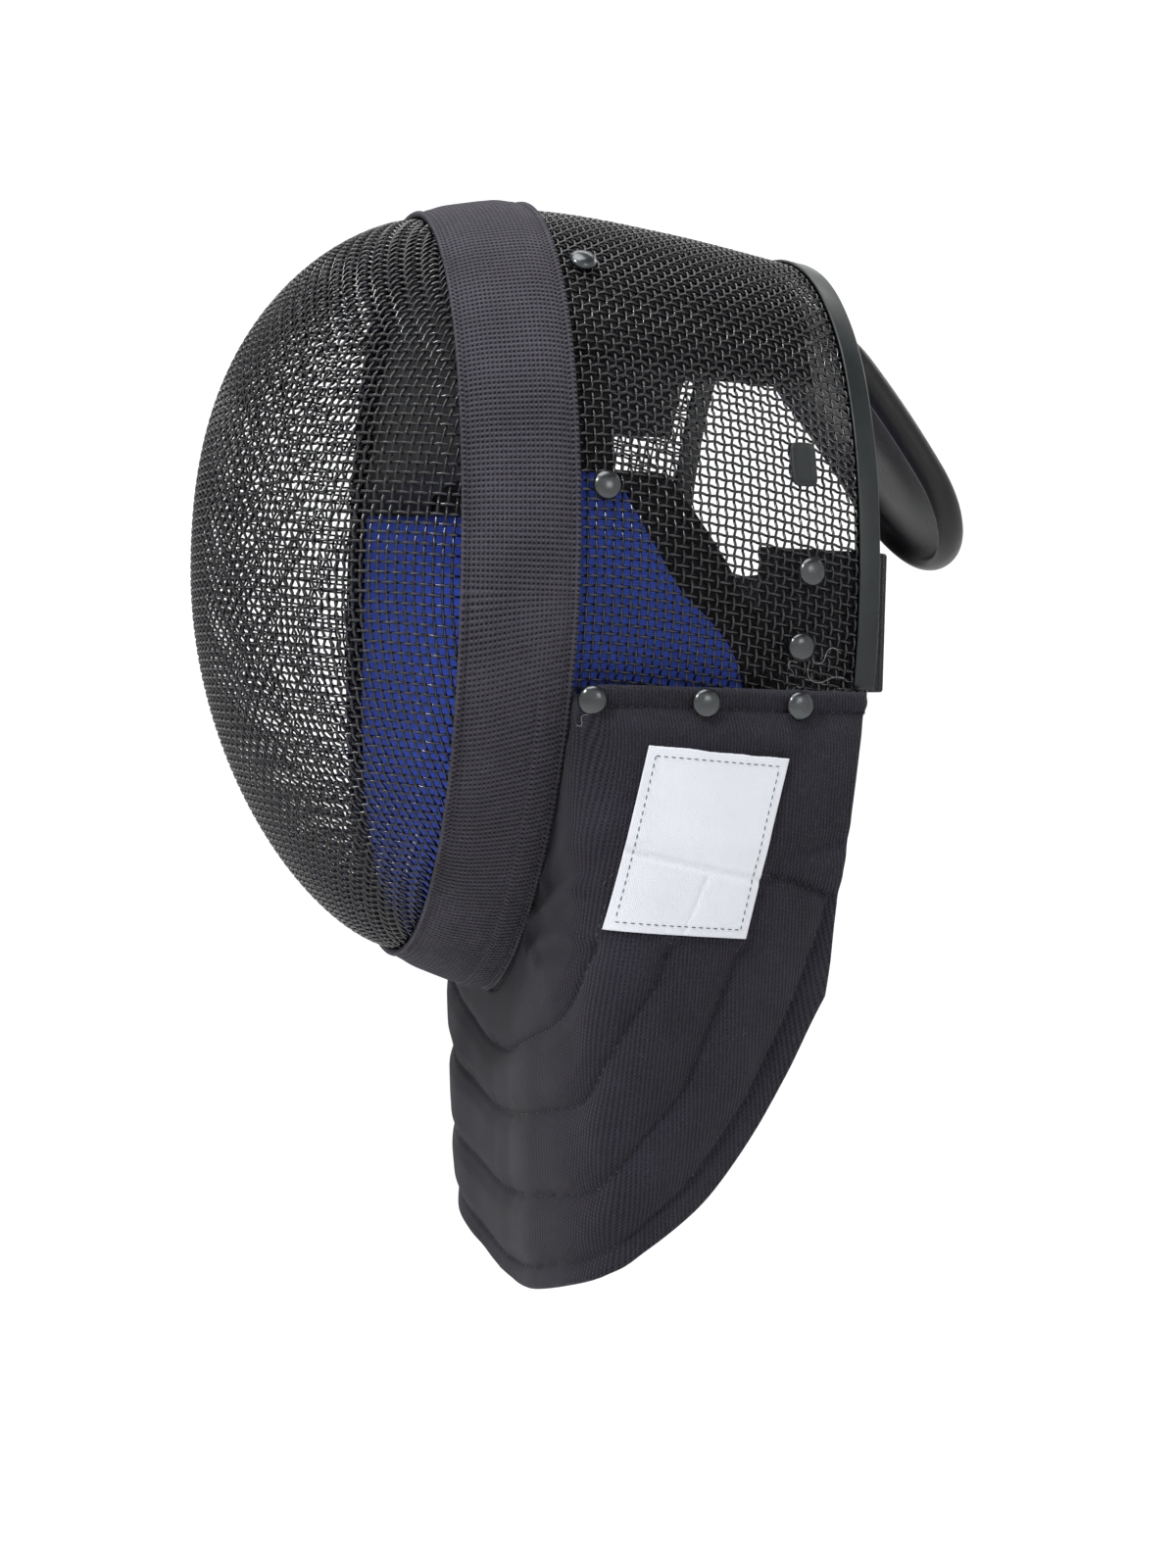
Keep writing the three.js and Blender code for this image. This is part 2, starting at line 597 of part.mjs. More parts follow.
// Padded tab behind the head, hung from the crown pad's rear face: an arc in side view, with a
// narrow neck and a round lower end
function tongue() {
  const [start, curl] = [TONGUE_SLOPE * DEGREE, TONGUE_CURL * DEGREE];
  const upAt = (angle) => new THREE.Vector3(0, Math.sin(angle), Math.cos(angle));
  const root = headPoint(CROWN_PAD_REAR, 0, PAD_OFF - TONGUE_SEAT * CROWN_PAD_WALL);
  root.y += CLEARANCE;
  root.addScaledVector(upAt(start), TONGUE_WALL / 2);
  const spine = (share) => {
    const half = (curl * share) / 2;
    const chord = TONGUE_LENGTH * share * (half > 0 ? Math.sin(half) / half : 1);
    const slope = start + half;
    return new THREE.Vector3(0, chord * Math.cos(slope), -chord * Math.sin(slope)).add(root);
  };
  const round = TONGUE_WIDTH / 2 / TONGUE_LENGTH;
  const rings = range(TONGUE_STEPS).map((share) => {
    const over = Math.max((share - (1 - round)) / round, 0);
    const narrow = THREE.MathUtils.smoothstep(TONGUE_NECK_END - share, 0, TONGUE_NECK_END);
    const tip = Math.sqrt(Math.max(1 - over * over, TONGUE_TIP * TONGUE_TIP));
    const width = (TONGUE_WIDTH / 2) * (1 - (1 - TONGUE_NECK) * narrow) * tip;
    const up = upAt(start + curl * share);
    return TONGUE_SECTION.map(({ side, thick }) =>
      spine(share)
        .add(new THREE.Vector3(side * width, 0, 0))
        .addScaledVector(up, (thick * TONGUE_WALL) / 2),
    );
  });
  const outline = TONGUE_SECTION.map(({ side, thick }) => new THREE.Vector2(side, thick));
  return named("tongue", bar(rings, outline), VINYL_FINISH);
}

// Elastic strap across the back of the head, with its ends inside the shell
function rearStrap() {
  const half = STRAP_PATH.map((p) => [p.side * HALF_WIDTH, alongToY(p.along)]);
  const path = [...half, ...half.slice(0, -1).reverse().map(([x, y]) => [-x, y])];
  const curve = new THREE.CatmullRomCurve3(path.map(([x, y]) => new THREE.Vector3(x, y, 0)));
  const middle = heightToZ(-STRAP_BELOW_WIDEST);
  const outline = [
    [-1, -1],
    [1, -1],
    [1, 1],
    [-1, 1],
  ].map(([x, y]) => new THREE.Vector2(x, y));
  const rings = range(STRAP_STEPS).map((share) => {
    const point = curve.getPointAt(share);
    const tangent = curve.getTangentAt(share);
    const side = new THREE.Vector3(-tangent.y, tangent.x, 0);
    return outline.map((p) =>
      point
        .clone()
        .addScaledVector(side, (p.x * STRAP_WALL) / 2)
        .add(new THREE.Vector3(0, 0, middle + (p.y * STRAP_WIDTH) / 2)),
    );
  });
  return named("rear_strap", bar(rings, outline), ELASTIC_FINISH);
}

// Puts a mesh whose own +Y is its outward axis on a surface point, on the left or mirrored
function seat(mesh, point, normal, mirror) {
  const direction = new THREE.Vector3(normal.x * mirror, normal.y, normal.z);
  const level = new THREE.Vector3(0, 0, 1).cross(direction).normalize();
  const up = level.clone().cross(direction);
  mesh.position.set(point.x * mirror, point.y, point.z);
  mesh.quaternion.setFromRotationMatrix(new THREE.Matrix4().makeBasis(level, direction, up));
  return mesh;
}

function rivetGeometry() {
  const profile = range(4).map((share) => {
    const angle = (share * Math.PI) / 2;
    const radius = (RIVET_DIAMETER / 2) * Math.cos(angle);
    return new THREE.Vector2(Math.max(radius, 0), RIVET_HEIGHT * Math.sin(angle));
  });
  profile.at(-1).x = 0;
  return new THREE.LatheGeometry([new THREE.Vector2(0, 0), ...profile], RIVET_SIDES);
}

function rivets() {
  const made = [];
  for (const { suffix, mirror } of SIDES) {
    for (const { name, along, height } of SHELL_RIVETS) {
      const level = height * (height >= 0 ? CROWN_RISE : CHIN_DROP);
      const turn = turnAt(along, level);
      const base = headPoint(along, turn, 0);
      const normal = headPoint(along, turn, 1).sub(base);
      const mesh = named(`${name}_${suffix}`, rivetGeometry(), METAL_FINISH);
      made.push(seat(mesh, base.addScaledVector(normal, SEAT_GAP), normal, mirror));
    }
    for (const { name, along } of BIB_RIVETS) {
      const z = heightToZ(-BIB_BELOW_WIDEST - RIVET_DIAMETER / 2 - RIVET_INSET);
      const [at, down] = bibPlace(alongToY(along), z, BIB_WALL);
      const base = bibPoint(at, down, BIB_WALL);
      const normal = bibPoint(at, down, BIB_WALL + 1).sub(base);
      const mesh = named(`${name}_${suffix}`, rivetGeometry(), METAL_FINISH);
      made.push(seat(mesh, base.addScaledVector(normal, CLEARANCE), normal, mirror));
    }
  }
  return made;
}

// Small metal plates clinched on the shell by the rear edge
function clipPlates() {
  const [w, h, r] = [CLIP_WIDTH / 2, CLIP_HEIGHT / 2, CLIP_CORNER];
  const outline = new THREE.Shape();
  outline.moveTo(-w + r, -h).lineTo(w - r, -h).absarc(w - r, -h + r, r, -Math.PI / 2, 0);
  outline.lineTo(w, h - r).absarc(w - r, h - r, r, 0, Math.PI / 2);
  outline.lineTo(-w + r, h).absarc(-w + r, h - r, r, Math.PI / 2, Math.PI);
  outline.lineTo(-w, -h + r).absarc(-w + r, -h + r, r, Math.PI, Math.PI * 1.5);
  const turn = turnAt(CLIP_PLACE.along, CLIP_PLACE.height * CROWN_RISE);
  const base = headPoint(CLIP_PLACE.along, turn, 0);
  const normal = headPoint(CLIP_PLACE.along, turn, 1).sub(base);
  return SIDES.map(({ suffix, mirror }) => {
    const plate = new THREE.ExtrudeGeometry(outline, {
      depth: CLIP_WALL,
      bevelEnabled: false,
      curveSegments: 3,
    });
    plate.rotateX(-Math.PI / 2);
    const mesh = named(`clip_plate_${suffix}`, plate, METAL_FINISH);
    return seat(mesh, base.clone().addScaledVector(normal, SEAT_GAP), normal, mirror);
  });
}

const mask = new THREE.Group();
mask.add(frontMesh(), backMesh(), bandRing(), rearTrim());
mask.add(crownPad(), facePad(), ...sideLinings(), cheekLining(), liningBinding());
mask.add(bib(), label(), tongue(), rearStrap());
mask.add(...rivets(), ...clipPlates());

export default mask;
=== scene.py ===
"""Looks of a fencing mask with its bib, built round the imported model. Metres, +Z up, the wearer faces
-Y, and the origin is where the top of the head meets the crown pad."""

import math

import bmesh
import bpy
import numpy as np
from mathutils import Matrix, Vector


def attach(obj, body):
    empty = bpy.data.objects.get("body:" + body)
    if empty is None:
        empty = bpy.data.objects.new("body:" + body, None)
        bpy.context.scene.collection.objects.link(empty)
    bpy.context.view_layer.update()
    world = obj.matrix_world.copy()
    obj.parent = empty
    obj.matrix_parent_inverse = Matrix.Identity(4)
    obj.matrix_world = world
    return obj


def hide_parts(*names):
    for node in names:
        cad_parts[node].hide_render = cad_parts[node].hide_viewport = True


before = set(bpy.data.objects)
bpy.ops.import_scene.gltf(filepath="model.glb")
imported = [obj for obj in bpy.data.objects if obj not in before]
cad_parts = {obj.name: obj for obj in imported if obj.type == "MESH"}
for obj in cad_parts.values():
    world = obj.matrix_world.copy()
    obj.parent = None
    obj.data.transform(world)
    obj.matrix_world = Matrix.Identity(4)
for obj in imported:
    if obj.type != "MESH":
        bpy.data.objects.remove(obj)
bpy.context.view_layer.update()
MM = 0.001

# Camera: the photograph's view
YAW, PITCH, ROLL = 15.7, 2.0, 1.55
TARGET = (0.0, 0.0037, -0.1873)
DISTANCE = 0.837
LENS = 51.75

# Wire head
HALF_WIDTH = 0.110
CROWN_RISE = 0.141
CHIN_DROP = 0.139
SHELL_DEPTH = 0.143
BULB_DEPTH = 0.0735
NOSE_ABOVE_WIDEST = 0.013
WIDEST_BELOW_SEAT = 0.122
BAND_TO_SEAT = 0.070
SHELL_BELOW_WIDEST = 0.038
MESH_WALL = 0.002
WIRE_RADIUS = 0.0005
WIRE_PITCH = 0.0031
HOOP_PITCH = 0.00295
KNUCKLE = 0.24  # half length of a crimp, as a share of the pitch

# Band, trim and small metal
CLEARANCE = 0.0003
BAND_WIDTH = 0.038
BAND_GAP = 0.0007
BAND_EDGE_WALL = 0.0012
BAND_MIDDLE_WALL = 0.0028
SELVEDGE = 0.0011
TAPE_ROWS = (0.69, 0.93)  # stitch rows of the tape, as shares of the band's width
TRIM_WIDTH = 0.0075
TRIM_WALL = 0.001
RIVET_DIAMETER = 0.0096
RIVET_HEIGHT = 0.0026
RIVET_INSET = 0.0005
RIVET_RIM = 0.0003
SEAT_GAP = 0.0006
CLIP_WIDTH = 0.009
CLIP_HEIGHT = 0.015

# Padding
PAD_OFF = -0.0026
CROWN_PAD_WALL = 0.013
CROWN_PAD_EDGE = 0.079
CROWN_PAD_REAR = 0.9
FACE_PAD_DEPTH = 0.026
FACE_PAD_INSET = 0.005
FACE_PAD_EDGE = 0.038
WINDOW_HALF_WIDTH = 0.090
BROW_ARCH = 0.007
SIDE_LINING_DEPTH = 0.019
SIDE_LINING_WALL = 0.005
CROWN_PAD_FRONT = (FACE_PAD_INSET + FACE_PAD_DEPTH + 0.0012) / SHELL_DEPTH
CHEEK_WALL = 0.007
BINDING_WALL = 0.003
TONGUE_WIDTH = 0.076
TONGUE_LENGTH = 0.131
TONGUE_WALL = 0.011
TONGUE_SLOPE, TONGUE_CURL = 41, 20
TONGUE_SEAT = 0.85
TONGUE_RIM = 0.0042
TONGUE_HOLLOW, TONGUE_BELLY = 0.0052, 0.0016
TONGUE_NECK, TONGUE_NECK_END = 0.5, 0.35

# Cloth and elastic
BIB_DROP = 0.246
BIB_WALL = 0.005
BIB_OFF = 0.0011
BIB_BELOW_WIDEST = 0.029
BIB_SIDE_AT = 0.75
BIB_REAR = 0.985
LABEL_WIDTH = 0.049
LABEL_HEIGHT = 0.061
LABEL_WALL = 0.0008
LABEL_GAP = 0.001
LABEL_LEAN, LABEL_SLOPE = 12, 3.6
LABEL_BELOW_WIDEST = 0.080
LABEL_ALONG = 0.56
STRAP_WIDTH = 0.047
STRAP_WALL = 0.002
STRAP_BELOW_WIDEST = 0.003

# Sections of the head across Y, as shares of its depth, half width, rise and drop
HEAD_SECTIONS = {
    "at": (0.0, 0.27, 0.62, 1.0),
    "width": (0.968, 1.0, 0.995, 0.955),
    "rise": (0.954, 1.0, 0.973, 0.912),
    "drop": (0.903, 1.0, 1.02, 1.04),
    "roundness": (2.1, 1.6, 1.8, 2.0),
}
CROWN_ROUNDNESS = 2.15
BULB = {"forward": 1.31, "top": 0.9, "bottom": 0.97, "side": 0.99}

# The bib's hem from the middle of the chest to its rear end
HEM = {
    "at": (0.0, 0.17, 0.33, 0.47, 0.56, 0.66, 0.78, 0.9, 1.0),
    "side": (0.0, 0.25, 0.5, 0.72, 0.84, 0.88, 0.88, 0.86, 0.845),
    "along": (0.35, 0.345, 0.33, 0.362, 0.41, 0.47, 0.64, 0.8, 0.905),
    "below": (1.0, 0.991, 0.97, 0.94, 0.915, 0.883, 0.797, 0.656, 0.533),
    "facing": (0, 0, 0, 10, 45, 80, 85, 88, 90),
    "belly": (0, 0.01, 0.02, 0.02, 0.02, 0.03, 0.03, 0.02, 0.01),
}
CHEEK_EDGE = {
    "at": (0.0, 0.12, 0.25, 0.45, 0.7, 1.0),
    "reach": (0.36, 0.5, 0.68, 0.69, 0.5, 0.34),
    "binding": (0.12, 0.14, 0.1, 0.05, 0.05, 0.05),
}
STRAP_PATH = {
    "along": (0.72, 0.9, 1.02, 1.06, 1.09, 1.1),
    "side": (0.9, 0.885, 0.87, 0.78, 0.4, 0.0),
}
FRONT_RIVETS = (BAND_WIDTH + BAND_GAP + 0.0082) / SHELL_DEPTH
SHELL_RIVETS = (
    ("crown", FRONT_RIVETS, 0.795),
    ("side", FRONT_RIVETS, 0.245),
    ("strap_upper", 0.825, 0.07),
    ("strap_lower", 0.805, -0.108),
)
HEM_RIVETS = (
    ("front", (BAND_WIDTH + BAND_GAP + 0.0046) / SHELL_DEPTH),
    ("middle", 0.567),
    ("rear", 0.797),
)
CLIP_ALONG, CLIP_RISE = 0.808, 0.32

# Seams of the bib as places across (0 at the chest, 1 at the rear) and down (0 top, 1 hem)
SEAMS = {
    "inner": {
        "across": (0.0, 0.15, 0.3, 0.474, 0.55, 0.604, 0.65, 0.69),
        "down": (0.2, 0.235, 0.293, 0.393, 0.408, 0.4, 0.377, 0.335),
    },
    "second": {
        "across": (0.0, 0.2, 0.396, 0.562, 0.642, 0.696, 0.756, 0.79, 0.815),
        "down": (0.42, 0.46, 0.547, 0.625, 0.6, 0.573, 0.54, 0.45, 0.362),
    },
    "third": {
        "across": (0.0, 0.2, 0.38, 0.558, 0.624, 0.698, 0.764, 0.806, 0.844, 0.862, 0.877),
        "down": (0.69, 0.71, 0.755, 0.815, 0.813, 0.79, 0.763, 0.7, 0.62, 0.55, 0.43),
    },
    "hem": {
        "across": (0.0, 0.2, 0.4, 0.58, 0.73, 0.84, 0.9, 0.935, 0.955, 0.972, 0.981),
        "down": (0.93, 0.935, 0.94, 0.95, 0.94, 0.91, 0.875, 0.83, 0.77, 0.71, 0.64),
    },
    "step": {
        "across": (0.69, 0.75, 0.82, 0.876, 0.928, 0.984),
        "down": (0.3, 0.31, 0.363, 0.43, 0.51, 0.637),
    },
}
STEP_SEAM_SIDE_ONLY = "step"

# Soft folds of the bib's side, from one place to another, with height and half width in metres
FOLDS = {
    "across": (0.38, 0.40, 0.496, 0.45, 0.722, 0.712, 0.88),
    "down": (0.08, 0.02, 0.08, 0.2, 0.047, 0.137, 0.42),
    "across_end": (0.656, 0.692, 0.742, 0.64, 0.764, 0.79, 0.984),
    "down_end": (0.303, 0.27, 0.28, 0.375, 0.257, 0.3, 0.46),
    "height": (-0.0016, -0.0014, -0.0012, -0.0012, -0.0006, -0.0005, -0.0011),
    "half_width": (0.0035, 0.003, 0.0035, 0.003, 0.004, 0.003, 0.004),
}
HEM_STITCH_DOWN = 0.007  # stitch line of the top hem, below its edge
STEP = 1e-3  # step of central differences, in turns and shares


def column(table, name, at):
    """Values of a table's column: a cubic Hermite curve through its rows, whose slope at a row is that
    of the chord between the row's neighbours."""
    x, y = np.asarray(table["at"], float), np.asarray(table[name], float)
    ends = np.arange(len(x))
    before, after = np.maximum(ends - 1, 0), np.minimum(ends + 1, len(x) - 1)
    slope = (y[after] - y[before]) / (x[after] - x[before])
    i = np.clip(np.searchsorted(x, at, side="left") - 1, 0, len(x) - 2)
    span = x[i + 1] - x[i]
    s = (at - x[i]) / span
    rise, fall = 3 * s**2 - 2 * s**3, 1 - 3 * s**2 + 2 * s**3
    curl = slope[i] * (s**3 - 2 * s**2 + s) + slope[i + 1] * (s**3 - s**2)
    return y[i] * fall + y[i + 1] * rise + curl * span


def unit(vectors):
    return vectors / np.maximum(np.linalg.norm(vectors, axis=-1, keepdims=True), 1e-12)


def smooth(x):
    """Smoothstep from 0 to 1."""
    x = np.clip(x, 0, 1)
    return x * x * (3 - 2 * x)


def bell(x):
    return np.exp(-x * x)


def signed(x, power):
    """Power of the size of x, with the sign of x."""
    return np.sign(x) * np.abs(x) ** power


def run_length(points):
    """Length along rows of points, from 0 at each row's start."""
    steps = np.linalg.norm(np.diff(points, axis=-2), axis=-1)
    return np.concatenate([0 * steps[..., :1], np.cumsum(steps, axis=-1)], -1)


def curve(across, down, count):
    """Smooth curve through a few places, with `count` points evenly spaced by row number."""
    rows = {"at": np.arange(len(across)), "across": across, "down": down}
    at = np.linspace(0, len(across) - 1, count)
    return column(rows, "across", at), column(rows, "down", at)


def head_surface(along, turn):
    """Bare head behind the band's front edge: in each cross-section a superellipse, at a turn from the
    crown (0) through the left side to the chin (pi)."""
    along, turn = np.broadcast_arrays(np.asarray(along, float), np.asarray(turn, float))
    s, c = np.sin(turn), np.cos(turn)
    power = 2 / np.where(c >= 0, CROWN_ROUNDNESS, column(HEAD_SECTIONS, "roundness", along))
    rise = CROWN_RISE * column(HEAD_SECTIONS, "rise", along)
    drop = CHIN_DROP * column(HEAD_SECTIONS, "drop", along)
    x = HALF_WIDTH * column(HEAD_SECTIONS, "width", along) * signed(s, power)
    height = np.where(c >= 0, rise, -drop) * np.abs(c) ** power
    return np.stack([x, along * SHELL_DEPTH - BAND_TO_SEAT, height - WIDEST_BELOW_SEAT], -1)


def bulb_surface(forward, turn):
    """Bare bulb: the band's section shrinks by powers of a cosine as it comes forward by a power of a
    sine, from the band (0) to the nose (1), and its middle rises to the nose."""
    forward, turn = np.broadcast_arrays(np.asarray(forward, float), np.asarray(turn, float))
    rim = head_surface(0 * forward, turn)
    height = rim[..., 2] + WIDEST_BELOW_SEAT
    s, c = np.sin(forward * np.pi / 2), np.clip(np.cos(forward * np.pi / 2), 0, 1)
    shrink = c ** np.where(height >= 0, BULB["top"], BULB["bottom"])
    x, y = rim[..., 0] * c ** BULB["side"], -BAND_TO_SEAT - BULB_DEPTH * s ** BULB["forward"]
    return np.stack([x, y, height * shrink + NOSE_ABOVE_WIDEST * s**2 - WIDEST_BELOW_SEAT], -1)


def wall_level(x, y, z):
    """Inside 0 to 1 and outside above 1: the sum of powers of the superellipse of the section at y."""
    s = np.clip((-BAND_TO_SEAT - y) / BULB_DEPTH, 0, 1) ** (1 / BULB["forward"])
    c = np.sqrt(np.maximum(1 - s**2, 1e-6))
    height = z + WIDEST_BELOW_SEAT - NOSE_ABOVE_WIDEST * s**2
    along = np.clip((y + BAND_TO_SEAT) / SHELL_DEPTH, 0, 1)
    up = height >= 0
    rise = CROWN_RISE * column(HEAD_SECTIONS, "rise", along) * c ** BULB["top"]
    drop = CHIN_DROP * column(HEAD_SECTIONS, "drop", along) * c ** BULB["bottom"]
    power = np.where(up, CROWN_ROUNDNESS, column(HEAD_SECTIONS, "roundness", along))
    width = HALF_WIDTH * column(HEAD_SECTIONS, "width", along) * c ** BULB["side"]
    tall = (np.abs(height) / np.where(up, rise, drop)) ** power
    return (np.abs(x) / width) ** power + tall, width, power


def half_width(y, z):
    """Distance of the wire wall from the middle plane."""
    tall, width, power = wall_level(0 * y, y, z)
    return width * np.maximum(1 - tall, 0) ** (1 / power)


def wall_normal(points):
    """Outward normal: the gradient of the level, by central differences."""
    step = 2e-5
    gradient = [
        wall_level(*np.moveaxis(points + step * axis, -1, 0))[0]
        - wall_level(*np.moveaxis(points - step * axis, -1, 0))[0]
        for axis in np.eye(3)
    ]
    return unit(np.stack(gradient, -1))


def normal_of(surface, a, b, outward):
    across = surface(a + STEP, b) - surface(a - STEP, b)
    up = surface(a, b + STEP) - surface(a, b - STEP)
    normal = unit(np.cross(across, up))
    return normal * np.where((normal * outward).sum(-1, keepdims=True) < 0, -1, 1)


def head_normal(along, turn):
    outward = head_surface(along, turn) * (1, 0, 1) + (0, 0, WIDEST_BELOW_SEAT)
    return normal_of(head_surface, along, turn, outward)


def head_point(along, turn, off=0.0):
    """Point that stands off the head along its normal."""
    return head_surface(along, turn) + head_normal(along, turn) * np.asarray(off)[..., None]


def turn_at(along, height):
    """Turn at which a cross-section has a height over the widest level."""
    along = np.asarray(along, float)
    if height >= 0:
        limit, power = CROWN_RISE * column(HEAD_SECTIONS, "rise", along), CROWN_ROUNDNESS
    else:
        limit = CHIN_DROP * column(HEAD_SECTIONS, "drop", along)
        power = column(HEAD_SECTIONS, "roundness", along)
    return np.arccos(np.sign(height) * (np.minimum(abs(height), limit) / limit) ** (power / 2))


def bib_hem(at):
    x = HALF_WIDTH * column(HEM, "side", at)
    y = column(HEM, "along", at) * SHELL_DEPTH - BAND_TO_SEAT
    return np.stack([x, y, -BIB_DROP * column(HEM, "below", at) - WIDEST_BELOW_SEAT], -1)


def bib_top(at):
    """Top edge of the bib's left half: from the chin (0) round the band, then along the shell (1)."""
    start = (BAND_WIDTH + BAND_GAP) / SHELL_DEPTH
    side = turn_at(start, -BIB_BELOW_WIDEST)
    back = start + (BIB_REAR - start) * np.clip((at - BIB_SIDE_AT) / (1 - BIB_SIDE_AT), 0, 1.01)
    wall = head_point(back, turn_at(back, -BIB_BELOW_WIDEST), BIB_OFF)

    def rim(place, behind):
        turn = np.pi + (side - np.pi) * np.minimum(place / BIB_SIDE_AT, 1)
        return head_point(start + behind, turn, BIB_OFF)

    edge = rim(at + STEP, 0) - rim(at - STEP, 0)
    normal = unit(np.cross(edge, bib_hem(at) - rim(at, 0)))
    front = rim(at, (BIB_WALL + BAND_GAP) * np.abs(normal[..., 1]) / SHELL_DEPTH)
    return np.where((at >= BIB_SIDE_AT)[..., None], wall, front)


def softened(points, spread):
    """Points along an edge, averaged with a bell-shaped weight over their neighbours."""
    reach = np.arange(-3 * spread, 3 * spread + 1)
    weight = np.exp(-0.5 * (reach / spread) ** 2)
    mirrored = points[3 * spread : 0 : -1] * (-1, 1, 1)
    ahead = 2 * points[-1] - points[-2 : -2 - 3 * spread : -1]
    longer = np.concatenate([mirrored, points, ahead])
    return np.stack([np.convolve(row, weight / weight.sum(), "valid") for row in longer.T], -1)


EDGE_AT = np.linspace(0, 1.02, 2041)
EDGES = np.concatenate(
    [
        softened(bib_top(EDGE_AT), 30),
        softened(bib_top(EDGE_AT), 90),
        bib_hem(EDGE_AT),
        np.radians(column(HEM, "facing", EDGE_AT))[:, None],
        column(HEM, "belly", EDGE_AT)[:, None],
    ],
    1,
)


def bib_surface(at, down):
    """Inner face of the bib: straight from its top edge (0) to its hem (1), and bellied out by a
    parabola. Below the edge, the corner where it leaves the band fades into a soft bend. Negative
    places are the right half."""
    at, down = np.broadcast_arrays(np.asarray(at, float), np.asarray(down, float))
    place = np.abs(at)
    edges = np.stack([np.interp(place, EDGE_AT, values) for values in EDGES.T], -1)
    fade = (smooth(down / 0.25) * smooth((1 - place) / 0.12))[..., None]
    top = edges[..., :3] * (1 - fade) + edges[..., 3:6] * fade
    hem, facing = edges[..., 6:9], edges[..., 9]
    height = np.linalg.norm(hem - top, axis=-1)
    belly = edges[..., 10] * 4 * down * (1 - down) * height
    point = top + (hem - top) * down[..., None]
    x = (point[..., 0] + belly * np.sin(facing)) * np.where(at < 0, -1, 1)
    return np.stack([x, point[..., 1] - belly * np.cos(facing), point[..., 2]], -1)


def bib_normal(at, down):
    at, down = np.broadcast_arrays(np.asarray(at, float), np.asarray(down, float))
    facing = np.radians(column(HEM, "facing", np.abs(at))) * np.sign(at)
    outward = np.stack([np.sin(facing), -np.cos(facing), 0 * facing], -1)
    inside = 1 - STEP
    return normal_of(bib_surface, np.clip(at, -inside, inside), np.clip(down, STEP, inside), outward)


def bib_point(at, down, off):
    return bib_surface(at, down) + bib_normal(at, down) * np.asarray(off)[..., None]


def bib_place(y, z, off):
    """Places on the bib's left side that have the given y and z: the nearest of a grid of places, then
    a few steps of Newton's method."""
    y, z = np.broadcast_arrays(np.asarray(y, float), np.asarray(z, float))
    ats, downs = (a.ravel() for a in np.meshgrid(np.linspace(0.6, 0.99, 60), np.linspace(0.01, 0.9, 60)))
    known = bib_point(ats, downs, off)
    far = (y.reshape(-1, 1) - known[:, 1]) ** 2 + (z.reshape(-1, 1) - known[:, 2]) ** 2
    best = far.argmin(1)
    at, down = ats[best].reshape(y.shape), downs[best].reshape(y.shape)
    for _ in range(5):
        here = bib_point(at, down, off)
        a = (bib_point(at + STEP, down, off) - here) / STEP
        d = (bib_point(at, down + STEP, off) - here) / STEP
        ey, ez = y - here[..., 1], z - here[..., 2]
        det = a[..., 1] * d[..., 2] - a[..., 2] * d[..., 1]
        at = np.clip(at + np.clip((ey * d[..., 2] - ez * d[..., 1]) / det, -0.02, 0.02), 0.5, 0.995)
        down = np.clip(down + np.clip((a[..., 1] * ez - a[..., 2] * ey) / det, -0.02, 0.02), 0.004, 0.99)
    return at, down


# Meshes from arrays
def make_piece(name, vertices, faces, uv=None, finish=None, shade=True):
    """Mesh object from vertices, faces of any length and one UV pair for each face corner."""
    mesh = bpy.data.meshes.new(name)
    mesh.from_pydata(vertices.reshape(-1, 3), [], faces)
    if uv is not None:
        layer = mesh.uv_layers.new(name="cloth")
        layer.data.foreach_set("uv", np.asarray(uv, np.float32).ravel())
    if shade:
        mesh.shade_smooth()
    if finish is not None:
        mesh.materials.append(finish)
    piece = bpy.data.objects.new(name, mesh)
    bpy.context.scene.collection.objects.link(piece)
    return piece


def grid_corners(rows, columns, wrap_rows=False, wrap_columns=False):
    """Corner rows and columns of each cell of a grid, in order round the cell."""
    i, j = np.meshgrid(
        np.arange(rows - (not wrap_rows)), np.arange(columns - (not wrap_columns)), indexing="ij"
    )
    i, j = i.ravel(), j.ravel()
    return np.stack([i, i + 1, i + 1, i], 1), np.stack([j, j, j + 1, j + 1], 1)


def grid_piece(name, points, finish, uv=None, wrap=(False, False), caps=False, weld=False):
    """Piece whose surface is a grid of points. `uv` has one more row or column where the grid wraps.
    Caps close the first and last rows with one face each, and welding joins what coincides."""
    rows, columns = points.shape[:2]
    ci, cj = grid_corners(rows, columns, *wrap)
    faces = (ci % rows) * columns + cj % columns
    corners = None if uv is None else uv[ci, cj].reshape(-1, 2)
    faces = faces.tolist()
    if caps:
        last = (rows - 1) * columns
        faces += [list(range(columns))[::-1], list(range(last, last + columns))]
        if uv is not None:
            ends = [uv[0, :columns][::-1], uv[-1, :columns]]
            corners = np.concatenate([corners, *ends])
    piece = make_piece(name, points, faces, corners, finish)
    if weld:
        close_up(piece)
    return piece


def close_up(piece, distance=2e-6):
    """Joins vertices that coincide and turns all faces outwards."""
    shape = bmesh.new()
    shape.from_mesh(piece.data)
    bmesh.ops.remove_doubles(shape, verts=shape.verts, dist=distance)
    bmesh.ops.dissolve_degenerate(shape, edges=shape.edges, dist=distance / 4)
    bmesh.ops.recalc_face_normals(shape, faces=shape.faces)
    shape.to_mesh(piece.data)
    shape.free()


def edge_spaced(count, edge, steps=4):
    """Shares from 0 to 1, evenly spaced but for a quarter circle's spacing within `edge` of each end."""
    turn = np.linspace(0, np.pi / 2, steps + 1)[:-1]
    near = edge * (1 - np.cos(turn))
    return np.concatenate([near, np.linspace(edge, 1 - edge, count), 1 - near[::-1]])


